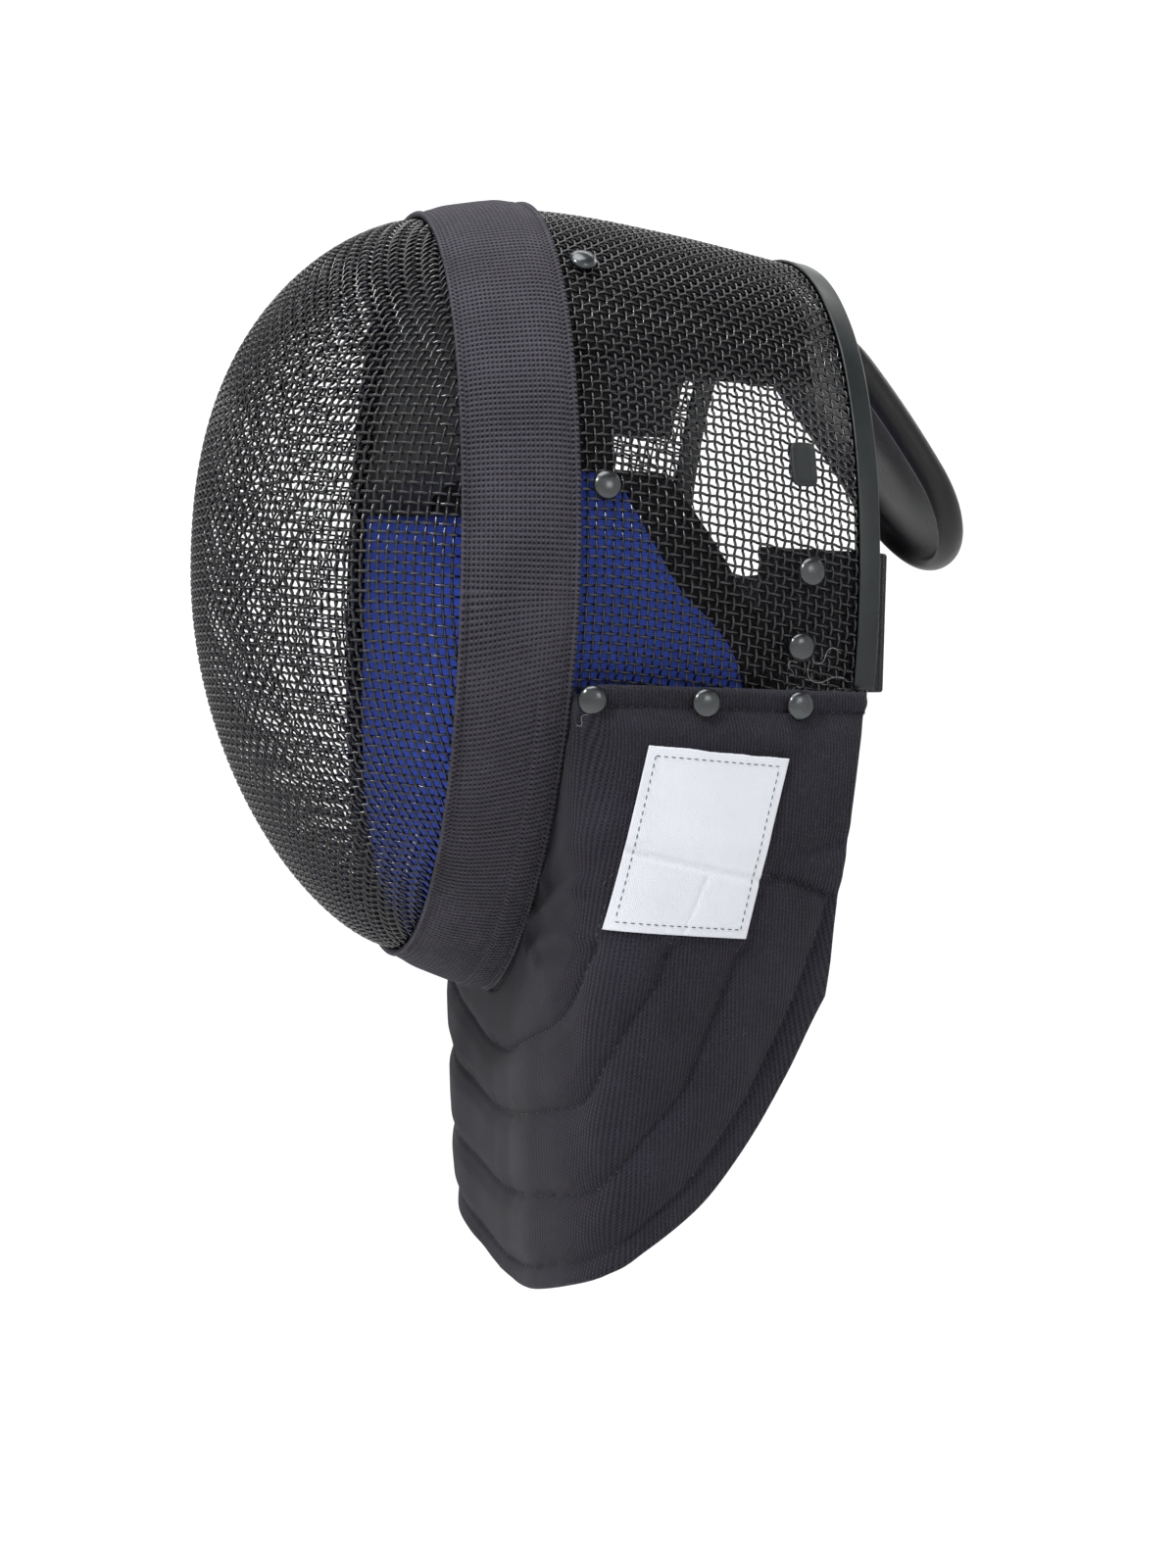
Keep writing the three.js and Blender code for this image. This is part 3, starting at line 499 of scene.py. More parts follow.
def pillow(name, surface, u, v, half, lift, finish, scale=(1, 1)):
    """Closed pad: `surface(u, v, off)` at `lift` plus and minus `half`, two arrays over the grid.
    Half is 0 all round the border, where both faces meet."""
    outer, inner = surface(u, v, lift + half), surface(u, v, lift - half)
    rings = np.concatenate([outer, inner[:, ::-1]], 1)
    v_all = np.concatenate([v[0], v[0, ::-1], v[0, :1]])
    uv = np.stack(np.broadcast_arrays(u[:, :1] * scale[0], v_all[None] * scale[1]), -1)
    return grid_piece(name, rings, finish, uv, (False, True), weld=True)


def border(u, v, width, height, radius):
    """Share of full thickness by the distance from a border: a quarter circle of the given radius.
    Width and height are the grid's real sizes."""
    to_edge = np.minimum(np.minimum(u, 1 - u) * width, np.minimum(v, 1 - v) * height)
    inside = np.clip(to_edge / radius, 0, 1)
    return np.sqrt(1 - (1 - inside) ** 2)


def circle(up, level, sides):
    """Unit circles of points in the planes of two directions, starting at `up`."""
    turn = np.arange(sides) * 2 * np.pi / sides
    return up[..., None, :] * np.cos(turn)[:, None] + level[..., None, :] * np.sin(turn)[:, None]


def tube_rings(path, normals, radius, sides):
    """Rings of points round paths (..., n, 3): each ring lies across its path."""
    along = unit(np.gradient(path, axis=-2))
    level = unit(np.cross(along, normals))
    ring = circle(np.cross(level, along), level, sides)
    return path[..., None, :] + ring * np.asarray(radius)[..., None, None]


def wires(name, centres, normals, valid, radius, sides, finish):
    """One piece from many wires: row k of `centres` is a wire where `valid`, and each unbroken run is a
    closed tube with a flat cap at both ends."""
    before, after = np.roll(valid, 1, 1), np.roll(valid, -1, 1)
    before[:, 0], after[:, -1] = False, False
    valid = valid & (before | after)
    before, after = before & valid, after & valid
    ahead = np.where(after[..., None], np.roll(centres, -1, 1), centres)
    behind = np.where(before[..., None], np.roll(centres, 1, 1), centres)
    along = unit(ahead - behind)
    level = unit(np.cross(along, normals))
    ring = circle(np.cross(level, along), level, sides)
    points = (centres[..., None, :] + radius * ring)[valid]
    number = np.where(valid, np.cumsum(valid.ravel()).reshape(valid.shape) - 1, -1)
    first = number[:, :-1][valid[:, :-1] & after[:, :-1]] * sides
    side = np.arange(sides)
    follow = (side + 1) % sides
    a, b = first[:, None] + side, first[:, None] + follow
    walls = np.stack([a, b, b + sides, a + sides], -1).reshape(-1, 4).tolist()
    starts = number[valid & ~before] * sides
    ends = number[valid & ~after] * sides
    caps = (starts[:, None] + side[::-1]).tolist() + (ends[:, None] + side).tolist()
    return make_piece(name, points, walls + caps, None, finish)


# Woven wire
def crimped(count):
    """Two samples at each knuckle of a wire, and which crossing they belong to."""
    crossing = np.repeat(np.arange(-count, count + 1), 2)
    return crossing + np.tile([-KNUCKLE, KNUCKLE], 2 * count + 1), crossing


def centre_profile():
    """Middle line of the bulb from under the chin to over the crown, with its length from the nose."""
    forward = np.linspace(1, 0, 400)
    over = np.linspace(0, 0.3, 60)[1:]
    halves = []
    for turn in (np.pi, 0.0):
        line = np.concatenate([bulb_surface(forward, turn), head_surface(over, turn)])
        halves.append((line, run_length(line)))
    (low, low_run), (high, high_run) = halves
    return np.concatenate([low[:0:-1], high]), np.concatenate([-low_run[:0:-1], high_run])


def bulb_nodes(rows, columns):
    """Crossings of the bulb's wires. A row starts at its length along the middle line and lies in a
    plane that sinks towards the back, more so the lower it is, and columns cross it at equal lengths."""
    line, run = centre_profile()
    edge = -BAND_TO_SEAT + 0.006
    start_y = np.interp(rows * WIRE_PITCH, run, line[:, 1])[:, None]
    start_z = np.interp(rows * WIRE_PITCH, run, line[:, 2])[:, None]
    sink = np.tan(np.radians(np.maximum(2.9 - 40 * (start_z + WIDEST_BELOW_SEAT), -0.5)))
    depth = np.maximum(edge - start_y, 0)

    def place(t):
        y = start_y + depth * t**2
        z = start_z - sink * (y - start_y)
        return np.stack([half_width(y, z) * (t > 0), y, z], -1)

    t = np.broadcast_to(np.linspace(0, 1, 240), (len(rows), 240))
    arc = run_length(place(t))
    wanted = np.abs(columns) * WIRE_PITCH
    t = np.array([np.interp(wanted, lengths, t[0]) for lengths in arc])
    points = place(t) * np.stack([np.sign(columns), 1 + 0 * columns, 1 + 0 * columns], -1)
    valid = (wanted[None] <= arc[:, -1:]) & (start_y < edge - WIRE_PITCH)
    return points, valid


def shell_nodes(hoops, rows):
    """Crossings of the rear shell's wires: hoops at one pitch along Y, and rows at equal lengths down
    each hoop from the crown."""
    y = -BAND_TO_SEAT + BAND_WIDTH - 0.006 + hoops * HOOP_PITCH
    along = (y + BAND_TO_SEAT) / SHELL_DEPTH
    end = turn_at(along, -SHELL_BELOW_WIDEST)
    turn = end[:, None] * np.linspace(0, 1, 400)
    arc = run_length(head_surface(along[:, None], turn))
    wanted = np.abs(rows) * WIRE_PITCH
    turns = np.array([np.interp(wanted, a, t) for a, t in zip(arc, turn)]) * np.sign(rows)
    points = head_surface(along[:, None], turns)
    inside = (along > 0) & (y < SHELL_DEPTH - BAND_TO_SEAT - 0.0015)
    return points, (wanted[None] <= arc[:, -1:]) & inside[:, None]


def weave(name, node, nodes, a_count, b_count, finish):
    """Two pieces of crimped wire, one for each direction, that pass over each other in turn."""
    middle = -MESH_WALL / 2
    made = []
    for suffix, turned in (("warp", False), ("weft", True)):
        straight = np.arange(-b_count, b_count + 1) if turned else np.arange(-a_count, a_count + 1)
        samples, crossing = crimped(a_count if turned else b_count)
        args = (samples, straight) if turned else (straight, samples)
        points, valid = nodes(*(x.astype(float) for x in args))
        if turned:
            points, valid = np.swapaxes(points, 0, 1), valid.T
        over = 1 - 2 * ((straight[:, None] + crossing[None]) % 2)
        off = middle + WIRE_RADIUS * over * (-1 if turned else 1)
        normals = wall_normal(points)
        centres = points + normals * off[..., None]
        piece = wires(f"{name}_{suffix}", centres, normals, valid, WIRE_RADIUS, 5, finish)
        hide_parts(node)
        made.append(piece)
    return made


# Band, trim, rivets and clips
def band(finish):
    """Elastic webbing: round the head, a closed section whose outer face rises from its edges to a flat
    middle, with a round selvedge at both edges, ripples by the hem's front rivets and a raised tape
    under the lower rear edge."""
    turn = np.linspace(-np.pi, np.pi, 541)
    across = edge_spaced(31, 0.03)
    off = BAND_EDGE_WALL + (BAND_MIDDLE_WALL - BAND_EDGE_WALL) * smooth(
        np.minimum(across, 1 - across) / 0.3
    )
    to_edge = np.minimum(across, 1 - across) * BAND_WIDTH
    off = off * smooth((to_edge - SELVEDGE * 1.6) / 0.003) + 0.0012 * smooth(1 - to_edge / 0.006)
    off += 0.0009 * np.sqrt(np.clip(1 - ((to_edge - SELVEDGE) / SELVEDGE) ** 2, 0, 1))
    grid_turn, grid_across = np.meshgrid(turn, across, indexing="ij")
    shape = np.broadcast_to(off, grid_turn.shape).copy()
    bare = head_surface(grid_across * BAND_WIDTH / SHELL_DEPTH, grid_turn)
    height = bare[..., 2] + WIDEST_BELOW_SEAT
    tape = smooth((-0.026 - height) / 0.006) * smooth((grid_across - TAPE_ROWS[0]) / 0.02)
    shape += 0.0006 * tape * smooth((1 - grid_across) / 0.05)
    groove = sum(bell((grid_across - row) / 0.012) for row in TAPE_ROWS)
    shape -= 0.0005 * groove * smooth((-0.030 - height) / 0.006)
    ripple = np.cos(2 * np.pi * (height + 0.35 * grid_across * BAND_WIDTH) / 0.0042)
    near = bell((height + 0.024) / 0.007) * bell((grid_across - 0.8) / 0.22)
    shape += 0.00035 * ripple * near * smooth((1 - grid_across) / 0.1)
    outer = head_point(grid_across * BAND_WIDTH / SHELL_DEPTH, grid_turn, BAND_GAP + shape)
    inner = head_point(grid_across * BAND_WIDTH / SHELL_DEPTH, grid_turn, BAND_GAP + 0 * shape)
    rings = np.concatenate([outer, inner[:, ::-1]], 1)
    run = run_length(head_surface(0.5 * BAND_WIDTH / SHELL_DEPTH, turn))
    v = np.concatenate([across, across[::-1], across[:1]]) * BAND_WIDTH
    uv = np.stack(np.broadcast_arrays(run[:, None], v[None]), -1)
    piece = grid_piece("band_webbing", rings, finish, uv, (False, True), weld=True)
    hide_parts("band")
    return piece


def rounded(outline, radius, steps=3):
    """Closed outline with each corner replaced by a quadratic curve."""
    points = np.asarray(outline, float)
    before, after = np.roll(points, 1, 0), np.roll(points, -1, 0)
    t = np.linspace(0, 1, steps + 1)[:, None]
    made = []
    for corner, a, b in zip(points, before, after):
        start = corner + unit(a - corner) * min(radius, np.linalg.norm(a - corner) * 0.45)
        end = corner + unit(b - corner) * min(radius, np.linalg.norm(b - corner) * 0.45)
        made.append((1 - t) ** 2 * start + 2 * t * (1 - t) * corner + t**2 * end)
    return np.concatenate(made)


def rear_trim(finish):
    """Bent channel over the shell's rear edge: its section, a U with rounded corners, carried over the
    head from one hem to the other."""
    outer, inner = CLEARANCE + TRIM_WALL, MESH_WALL + CLEARANCE + TRIM_WALL
    front, slot = SHELL_DEPTH - TRIM_WIDTH, SHELL_DEPTH - TRIM_WALL
    outline = rounded(
        [
            (front, outer),
            (SHELL_DEPTH, outer),
            (SHELL_DEPTH, -inner),
            (front, -inner),
            (front, TRIM_WALL - inner),
            (slot, TRIM_WALL - inner),
            (slot, CLEARANCE),
            (front, CLEARANCE),
        ],
        0.0006,
    )
    along, off = outline[:, 0] / SHELL_DEPTH, outline[:, 1]
    end = turn_at(along, 2 * CLEARANCE - BIB_BELOW_WIDEST)
    share = np.linspace(-1, 1, 241)[:, None]
    wave = 0.00012 * np.sin(share * 23) * np.sin(share * 7 + 1)
    points = head_point(along[None] + 0 * share, share * end[None], off[None] + wave)
    piece = grid_piece("edge_channel", points, finish, None, (False, True), caps=True, weld=True)
    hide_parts("rear_edge_trim")
    return piece


def seat_frame(point, normal, mirror):
    """Place and axes (level, out, up) of a piece on the wall, on the left or mirrored."""
    out = unit(normal * (mirror, 1, 1))
    level = unit(np.cross((0, 0, 1), out))
    return point * (mirror, 1, 1), np.stack([level, out, np.cross(level, out)])


def turned_piece(name, profile, seats, sides, finish):
    """One piece of many turned ones: a profile of (radius, height) rows, from its rim to its middle,
    turned at each seat."""
    turn = np.arange(sides) * 2 * np.pi / sides
    radius, height = np.asarray(profile, float).T
    local = np.stack(
        [
            radius[:, None] * np.cos(turn),
            height[:, None] + 0 * turn,
            radius[:, None] * np.sin(turn),
        ],
        -1,
    )
    points, faces = [], []
    count = local.shape[0] * sides
    ci, cj = grid_corners(local.shape[0], sides, False, True)
    cells = (ci * sides + cj % sides)[:, ::-1]
    for k, (place, axes) in enumerate(seats):
        points.append(place + local.reshape(-1, 3) @ axes)
        faces += (cells + k * count).tolist()
        faces.append((np.arange(sides) + k * count).tolist())
        faces.append((np.arange(sides)[::-1] + (k + 1) * count - sides).tolist())
    piece = make_piece(name, np.concatenate(points), faces, None, finish)
    close_up(piece)
    return piece


def rivet_seats():
    """Names, places and axes of the rivets of both sides."""
    seats = {}
    for suffix, mirror in (("left", 1), ("right", -1)):
        for name, along, share in SHELL_RIVETS:
            level = share * (CROWN_RISE if share >= 0 else CHIN_DROP)
            turn = turn_at(along, level)
            normal = head_normal(along, turn)
            point = head_point(along, turn, SEAT_GAP)
            seats[f"rivet_{name}_{suffix}"] = seat_frame(point, normal, mirror)
        for name, along in HEM_RIVETS:
            y = along * SHELL_DEPTH - BAND_TO_SEAT
            z = -WIDEST_BELOW_SEAT - BIB_BELOW_WIDEST - RIVET_DIAMETER / 2 - RIVET_INSET
            at, down = bib_place(np.array(y), np.array(z), BIB_WALL)
            normal = bib_normal(at, down)
            point = bib_point(at, down, BIB_WALL + CLEARANCE)
            seats[f"rivet_hem_{name}_{suffix}"] = seat_frame(point, normal, mirror)
    return seats


def rivets(finish):
    """Domes on a thin rim: a quarter ellipse from the rim to the top."""
    seats = rivet_seats()
    angle = np.linspace(0, np.pi / 2, 12)[:-1]
    radius = RIVET_DIAMETER / 2
    height = RIVET_RIM + (RIVET_HEIGHT - RIVET_RIM) * np.sin(angle)
    dome = np.stack([radius * np.cos(angle) ** 0.95, height], 1)
    profile = np.concatenate([[(radius * 0.9, 0)], [(radius * 0.985, 0.00005)], dome])
    piece = turned_piece("rivet_domes", profile, list(seats.values()), 32, finish)
    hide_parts(*seats)
    return piece


def clips(finish):
    """Small plates: rounded rectangles stacked from the foot over a rolled edge to a raised rim and a
    shallow middle."""
    turn = turn_at(CLIP_ALONG, CLIP_RISE * CROWN_RISE)
    point, normal = head_point(CLIP_ALONG, turn, SEAT_GAP), head_normal(CLIP_ALONG, turn)
    angle = np.arange(48) * 2 * np.pi / 48
    c, s = np.cos(angle), np.sin(angle)
    inset = np.array([0, 0, 0.08, 0.3, 0.7, 1.1, 1.4, 2.2]) * MM
    height = np.array([0, 0.85, 1.08, 1.2, 1.2, 1.0, 0.92, 0.92]) * MM
    half = np.array([CLIP_WIDTH, CLIP_HEIGHT]) / 2
    local = np.stack(
        [
            (half[0] - inset[:, None]) * signed(c, 0.45),
            height[:, None] + 0 * c,
            (half[1] - inset[:, None]) * signed(s, 0.3),
        ],
        -1,
    )
    made = []
    for suffix, mirror in (("left", 1), ("right", -1)):
        place, axes = seat_frame(point, normal, mirror)
        piece = grid_piece(
            f"clip_{suffix}", place + local @ axes, finish, None, (False, True), caps=True, weld=True
        )
        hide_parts(f"clip_plate_{suffix}")
        made.append(piece)
    return made


# Padding
def crown_pad(finish):
    """Pad of three lobes: u from front to rear, v from one edge over the crown to the other."""
    u, v = np.meshgrid(edge_spaced(32, 0.06), edge_spaced(70, 0.03), indexing="ij")
    half = CROWN_PAD_WALL / 2 * border(u, v, 0.08, 0.2, 0.006)
    half = half * (1 - 0.16 * bell((np.abs(v - 0.5) - 0.17) / 0.012) - 0.16 * bell((v - 0.5) / 0.012))
    lift = PAD_OFF - CROWN_PAD_WALL / 2 + 0 * u

    def surface(u, v, off):
        along = CROWN_PAD_FRONT + (CROWN_PAD_REAR - CROWN_PAD_FRONT) * u
        return head_point(along, (2 * v - 1) * turn_at(along, CROWN_PAD_EDGE), off)

    piece = pillow("crown_padding", surface, u, v, half, lift, finish, (0.08, 0.2))
    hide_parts("crown_pad")
    return piece


def face_pad(finish):
    """Padding round the brow: each section is a superellipse between the wire and the window's edge,
    carried from one cheek over the brow to the other."""
    share = np.linspace(-1, 1, 161)
    angle = np.arange(28) * 2 * np.pi / 28
    c, s = signed(np.cos(angle), 0.5), signed(np.sin(angle), 0.5)
    start = FACE_PAD_INSET / SHELL_DEPTH
    along = start + FACE_PAD_DEPTH / SHELL_DEPTH * (c + 1) / 2
    turn = share * turn_at(start, FACE_PAD_EDGE)
    side = WINDOW_HALF_WIDTH * np.sin(share * np.pi / 2)
    height = FACE_PAD_EDGE + BROW_ARCH * np.cos(share * np.pi / 2)
    wall = head_point(along[None] + 0 * turn[:, None], turn[:, None] + 0 * along[None], PAD_OFF)
    edge = np.stack(
        [
            side[:, None] + 0 * along,
            along[None] * SHELL_DEPTH - BAND_TO_SEAT + 0 * side[:, None],
            height[:, None] - WIDEST_BELOW_SEAT + 0 * along,
        ],
        -1,
    )
    points = wall + (edge - wall) * ((s + 1) / 2)[None, :, None]
    uv_u = np.concatenate([angle, [2 * np.pi]]) * 0.01
    uv = np.stack(np.broadcast_arrays(share[:, None] * 0.2, uv_u[None]), -1)
    piece = grid_piece("brow_padding", points, finish, uv, (False, True), caps=True, weld=True)
    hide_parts("face_pad")
    return piece


def side_linings(finish):
    """Strips of padding at both sides: from the crown pad's edge down to the cheek lining, behind the
    face pad."""
    foot = turn_at(FACE_PAD_INSET / SHELL_DEPTH, FACE_PAD_EDGE)
    u, v = np.meshgrid(edge_spaced(16, 0.1), edge_spaced(40, 0.05), indexing="ij")
    half = SIDE_LINING_WALL / 2 * border(u, v, SIDE_LINING_DEPTH, 0.05, 0.0022)
    made = []
    for suffix, mirror in (("left", 1), ("right", -1)):

        def surface(u, v, off):
            along = CROWN_PAD_FRONT + u * SIDE_LINING_DEPTH / SHELL_DEPTH
            top = turn_at(along, CROWN_PAD_EDGE - 0.0012)
            return head_point(along, (top + (foot - top) * v) * mirror, off)

        lift = PAD_OFF - SIDE_LINING_WALL / 2 + 0 * u
        scale = (SIDE_LINING_DEPTH, 0.05)
        piece = pillow(f"side_padding_{suffix}", surface, u, v, half, lift, finish, scale)
        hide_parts(f"side_lining_{suffix}")
        made.append(piece)
    return made


def cheek_place(v):
    """Turn round the chin and place in the table of the lining's edge, for v from side to side."""
    start = turn_at(FACE_PAD_INSET / SHELL_DEPTH, FACE_PAD_EDGE + 0.0015)
    return np.pi + (2 * v - 1) * (np.pi - start), 1 - np.abs(2 * v - 1)


def cheek_lining(finish):
    v, u = np.meshgrid(edge_spaced(100, 0.02), edge_spaced(24, 0.08), indexing="ij")
    half = CHEEK_WALL / 2 * border(v, u, 0.4, 0.07, 0.0035)
    rng = np.random.default_rng(7)
    waves = sum(
        np.sin(v * a + u * b + c) for a, b, c in zip((31, 57, 83), (9, -14, 21), rng.uniform(0, 6, 3))
    )
    lift = PAD_OFF - CHEEK_WALL / 2 - 0.0004 * (1 + waves / 3)

    def surface(v, u, off):
        turn, at = cheek_place(v)
        front = FACE_PAD_INSET / SHELL_DEPTH
        return head_point(front + (column(CHEEK_EDGE, "reach", at) - front) * u, turn, off)

    piece = pillow("cheek_cloth", surface, v, u, half - 0.0002 * (half > 0), lift, finish, (0.4, 0.07))
    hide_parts("cheek_lining")
    return piece


def lining_binding(finish):
    v, u = np.meshgrid(edge_spaced(110, 0.01), edge_spaced(7, 0.12), indexing="ij")
    half = BINDING_WALL / 2 * border(v, u, 0.4, 0.012, 0.0014)

    def surface(v, u, off):
        turn, at = cheek_place(v)
        near = column(CHEEK_EDGE, "reach", at) - 0.0025 / SHELL_DEPTH
        far = near + column(CHEEK_EDGE, "binding", at) + 0.0028 / SHELL_DEPTH
        return head_point(near + (far - near) * u, turn, off)

    lift = PAD_OFF - BINDING_WALL / 2 + 0 * u
    piece = pillow("binding_tape", surface, v, u, half, lift, finish, (0.4, 0.012))
    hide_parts("lining_binding")
    return piece


def tongue(finish):
    """Padded tab: an arc in side view with a narrow neck and a round end. Its thickness rises over a
    rolled rim, and the face towards the wearer is hollowed inside the rim."""
    start, curl = math.radians(TONGUE_SLOPE), math.radians(TONGUE_CURL)
    root = head_point(CROWN_PAD_REAR, 0.0, PAD_OFF - TONGUE_SEAT * CROWN_PAD_WALL)
    root = root + (0, CLEARANCE, 0)
    root = root + np.array([0, math.sin(start), math.cos(start)]) * TONGUE_WALL / 2
    half_width_ = TONGUE_WIDTH / 2
    round_ = half_width_ / TONGUE_LENGTH
    t = np.linspace(0, 1, 70)
    bend = 1 - round_ * (1 - np.sin((t - 0.6) / 0.4 * np.pi / 2))
    share = np.where(t < 0.6, t / 0.6 * (1 - round_), bend)
    over = np.clip((share - (1 - round_)) / round_, 0, 1)
    neck = 1 - (1 - TONGUE_NECK) * smooth((TONGUE_NECK_END - share) / TONGUE_NECK_END)
    width = half_width_ * neck * np.sqrt(np.clip(1 - over**2, 1e-6, 1))
    w = np.sin(np.linspace(-np.pi / 2, np.pi / 2, 47))
    x = width[:, None] * w
    length = share[:, None] * TONGUE_LENGTH
    centre = TONGUE_LENGTH - half_width_
    beyond = np.maximum(length - centre, 0)
    straight = (width / np.maximum(np.sqrt(1 - over**2), 1e-3))[:, None]
    inside = np.maximum(straight - np.hypot(x, beyond), 0)
    inside = np.minimum(inside, length + 0.0005)
    top = TONGUE_WALL / 2 * np.sqrt(1 - (1 - np.clip(inside / TONGUE_RIM, 0, 1)) ** 2)
    hollow = TONGUE_HOLLOW * smooth((inside - TONGUE_RIM * 0.95) / 0.004) * smooth((length - 0.02) / 0.02)
    belly = TONGUE_BELLY * smooth((inside - 0.012) / 0.02)
    half = curl * share / 2
    chord = TONGUE_LENGTH * share * np.sinc(half / np.pi)
    spine = root + np.stack([0 * half, chord * np.cos(start + half), -chord * np.sin(start + half)], -1)
    up = np.stack([0 * half, np.sin(start + 2 * half), np.cos(start + 2 * half)], -1)
    side = np.array([1.0, 0, 0])

    def face(off):
        return spine[:, None] + x[..., None] * side + off[..., None] * up[:, None]

    rings = np.concatenate([face(top), face(-top + hollow - belly * (hollow > 0))[:, ::-1]], 1)
    v = np.concatenate([w, w[::-1], w[:1]]) * half_width_
    uv = np.stack(np.broadcast_arrays(length, v[None]), -1)
    piece = grid_piece("tongue_pad", rings, finish, uv, (False, True), caps=True, weld=True)
    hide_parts("tongue")
    return piece


def rear_strap(finish):
    """Elastic strap: a smooth curve through the path's places, and a section with rounded edges."""
    along, side = (np.array(STRAP_PATH[k]) for k in ("along", "side"))
    x = np.concatenate([side, -side[-2::-1]]) * HALF_WIDTH
    y = np.concatenate([along, along[-2::-1]]) * SHELL_DEPTH - BAND_TO_SEAT
    rows = {"at": np.arange(len(x)), "x": x, "y": y}
    at = np.linspace(0, len(x) - 1, 1201)
    path = np.stack([column(rows, "x", at), column(rows, "y", at), 0 * at], -1)
    run = run_length(path)
    wanted = np.linspace(0, run[-1], 301)
    path = np.stack([np.interp(wanted, run, path[:, k]) for k in range(3)], -1)
    out = unit(np.cross(unit(np.gradient(path, axis=0)), (0, 0, 1)))
    out *= np.sign((out * (path - (0, -0.02, 0))).sum(-1, keepdims=True))
    rise = edge_spaced(10, 0.02)
    height = (rise - 0.5) * STRAP_WIDTH
    edge = np.sqrt(1 - (1 - np.clip(np.minimum(rise, 1 - rise) * STRAP_WIDTH / 0.001, 0, 1)) ** 2)
    half = STRAP_WALL / 2 * edge[None] + 0 * wanted[:, None]
    z = height - WIDEST_BELOW_SEAT - STRAP_BELOW_WIDEST - 0.0025
    base = path[:, None] + z[None, :, None] * np.array([0, 0, 1.0])
    outer, inner = base + half[..., None] * out[:, None], base - half[..., None] * out[:, None]
    rings = np.concatenate([outer, inner[:, ::-1]], 1)
    v = np.concatenate([height, height[::-1], height[:1]])
    uv = np.stack(np.broadcast_arrays(wanted[:, None], v[None]), -1)
    piece = grid_piece("strap_elastic", rings, finish, uv, (False, True), caps=True, weld=True)
    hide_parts("rear_strap")
    return piece


# Bib
def seam_places(name, count=220):
    """A seam's places over the left half, or over both halves where it crosses the chest."""
    across, down = curve(SEAMS[name]["across"], SEAMS[name]["down"], count)
    if name == STEP_SEAM_SIDE_ONLY:
        return [(across, down), (-across, down)]
    return [(np.concatenate([-across[:0:-1], across]), np.concatenate([down[:0:-1], down]))]


def nearest(points, line):
    """Distance of points from the nearest of a line's points, in slices to save memory."""
    flat = points.reshape(-1, 3)
    parts = [
        np.sqrt(((part[:, None] - line[None]) ** 2).sum(-1).min(1)) for part in np.array_split(flat, 60)
    ]
    return np.concatenate(parts).reshape(points.shape[:-1])


def bib_relief(at, down, points):
    """Height of the bib's outer face over its even surface: quilting swells away from the seams, the
    hem is a roll, and folds are soft valleys."""
    to_seam = np.full(at.shape, 1.0)
    for name in SEAMS:
        for across, depth in seam_places(name):
            to_seam = np.minimum(to_seam, nearest(points, bib_surface(across, depth)))
    tall = np.linalg.norm(bib_hem(np.abs(at)) - bib_top(np.abs(at)), axis=-1)
    top = np.abs(down * tall - HEM_STITCH_DOWN)
    on_side = smooth((np.abs(at) - 0.74) / 0.02)
    to_seam = np.minimum(to_seam, top + 0.05 * (1 - on_side))
    quilt = smooth((to_seam - 0.0004) / 0.0075) * 0.0019 - 0.0015 * bell(to_seam / 0.0009)
    relief = quilt - 0.0011
    for k in range(len(FOLDS["across"])):
        t = np.linspace(0, 1, 60)
        across = FOLDS["across"][k] + (FOLDS["across_end"][k] - FOLDS["across"][k]) * t
        depth = FOLDS["down"][k] + (FOLDS["down_end"][k] - FOLDS["down"][k]) * t
        for mirror in (1, -1):
            line = bib_surface(across * mirror, depth)
            far = nearest(points, line)
            relief = relief + FOLDS["height"][k] * bell(far / FOLDS["half_width"][k])
            relief = relief - 0.4 * FOLDS["height"][k] * bell((far - 0.006) / 0.003)
    rng = np.random.default_rng(3)
    for size, height in ((0.05, 0.0005), (0.022, 0.0002)):
        directions = unit(rng.normal(size=(5, 3)))
        phases = rng.uniform(0, 2 * np.pi, 5)
        swell = sum(np.sin(points @ d * 2 * np.pi / size + p) for d, p in zip(directions, phases))
        relief = relief + height * swell / 3
    u, v = label_shares(points)
    aside = np.maximum(np.abs(u - 0.5) - 0.5, 0) * LABEL_WIDTH
    beyond = np.maximum(np.abs(v - 0.5) - 0.5, 0) * LABEL_HEIGHT
    under = smooth(1.2 - np.hypot(aside, beyond) / 0.004) * (points[..., 0] > 0)
    return relief + (label_relief(u, v) - 0.0012 - relief) * under


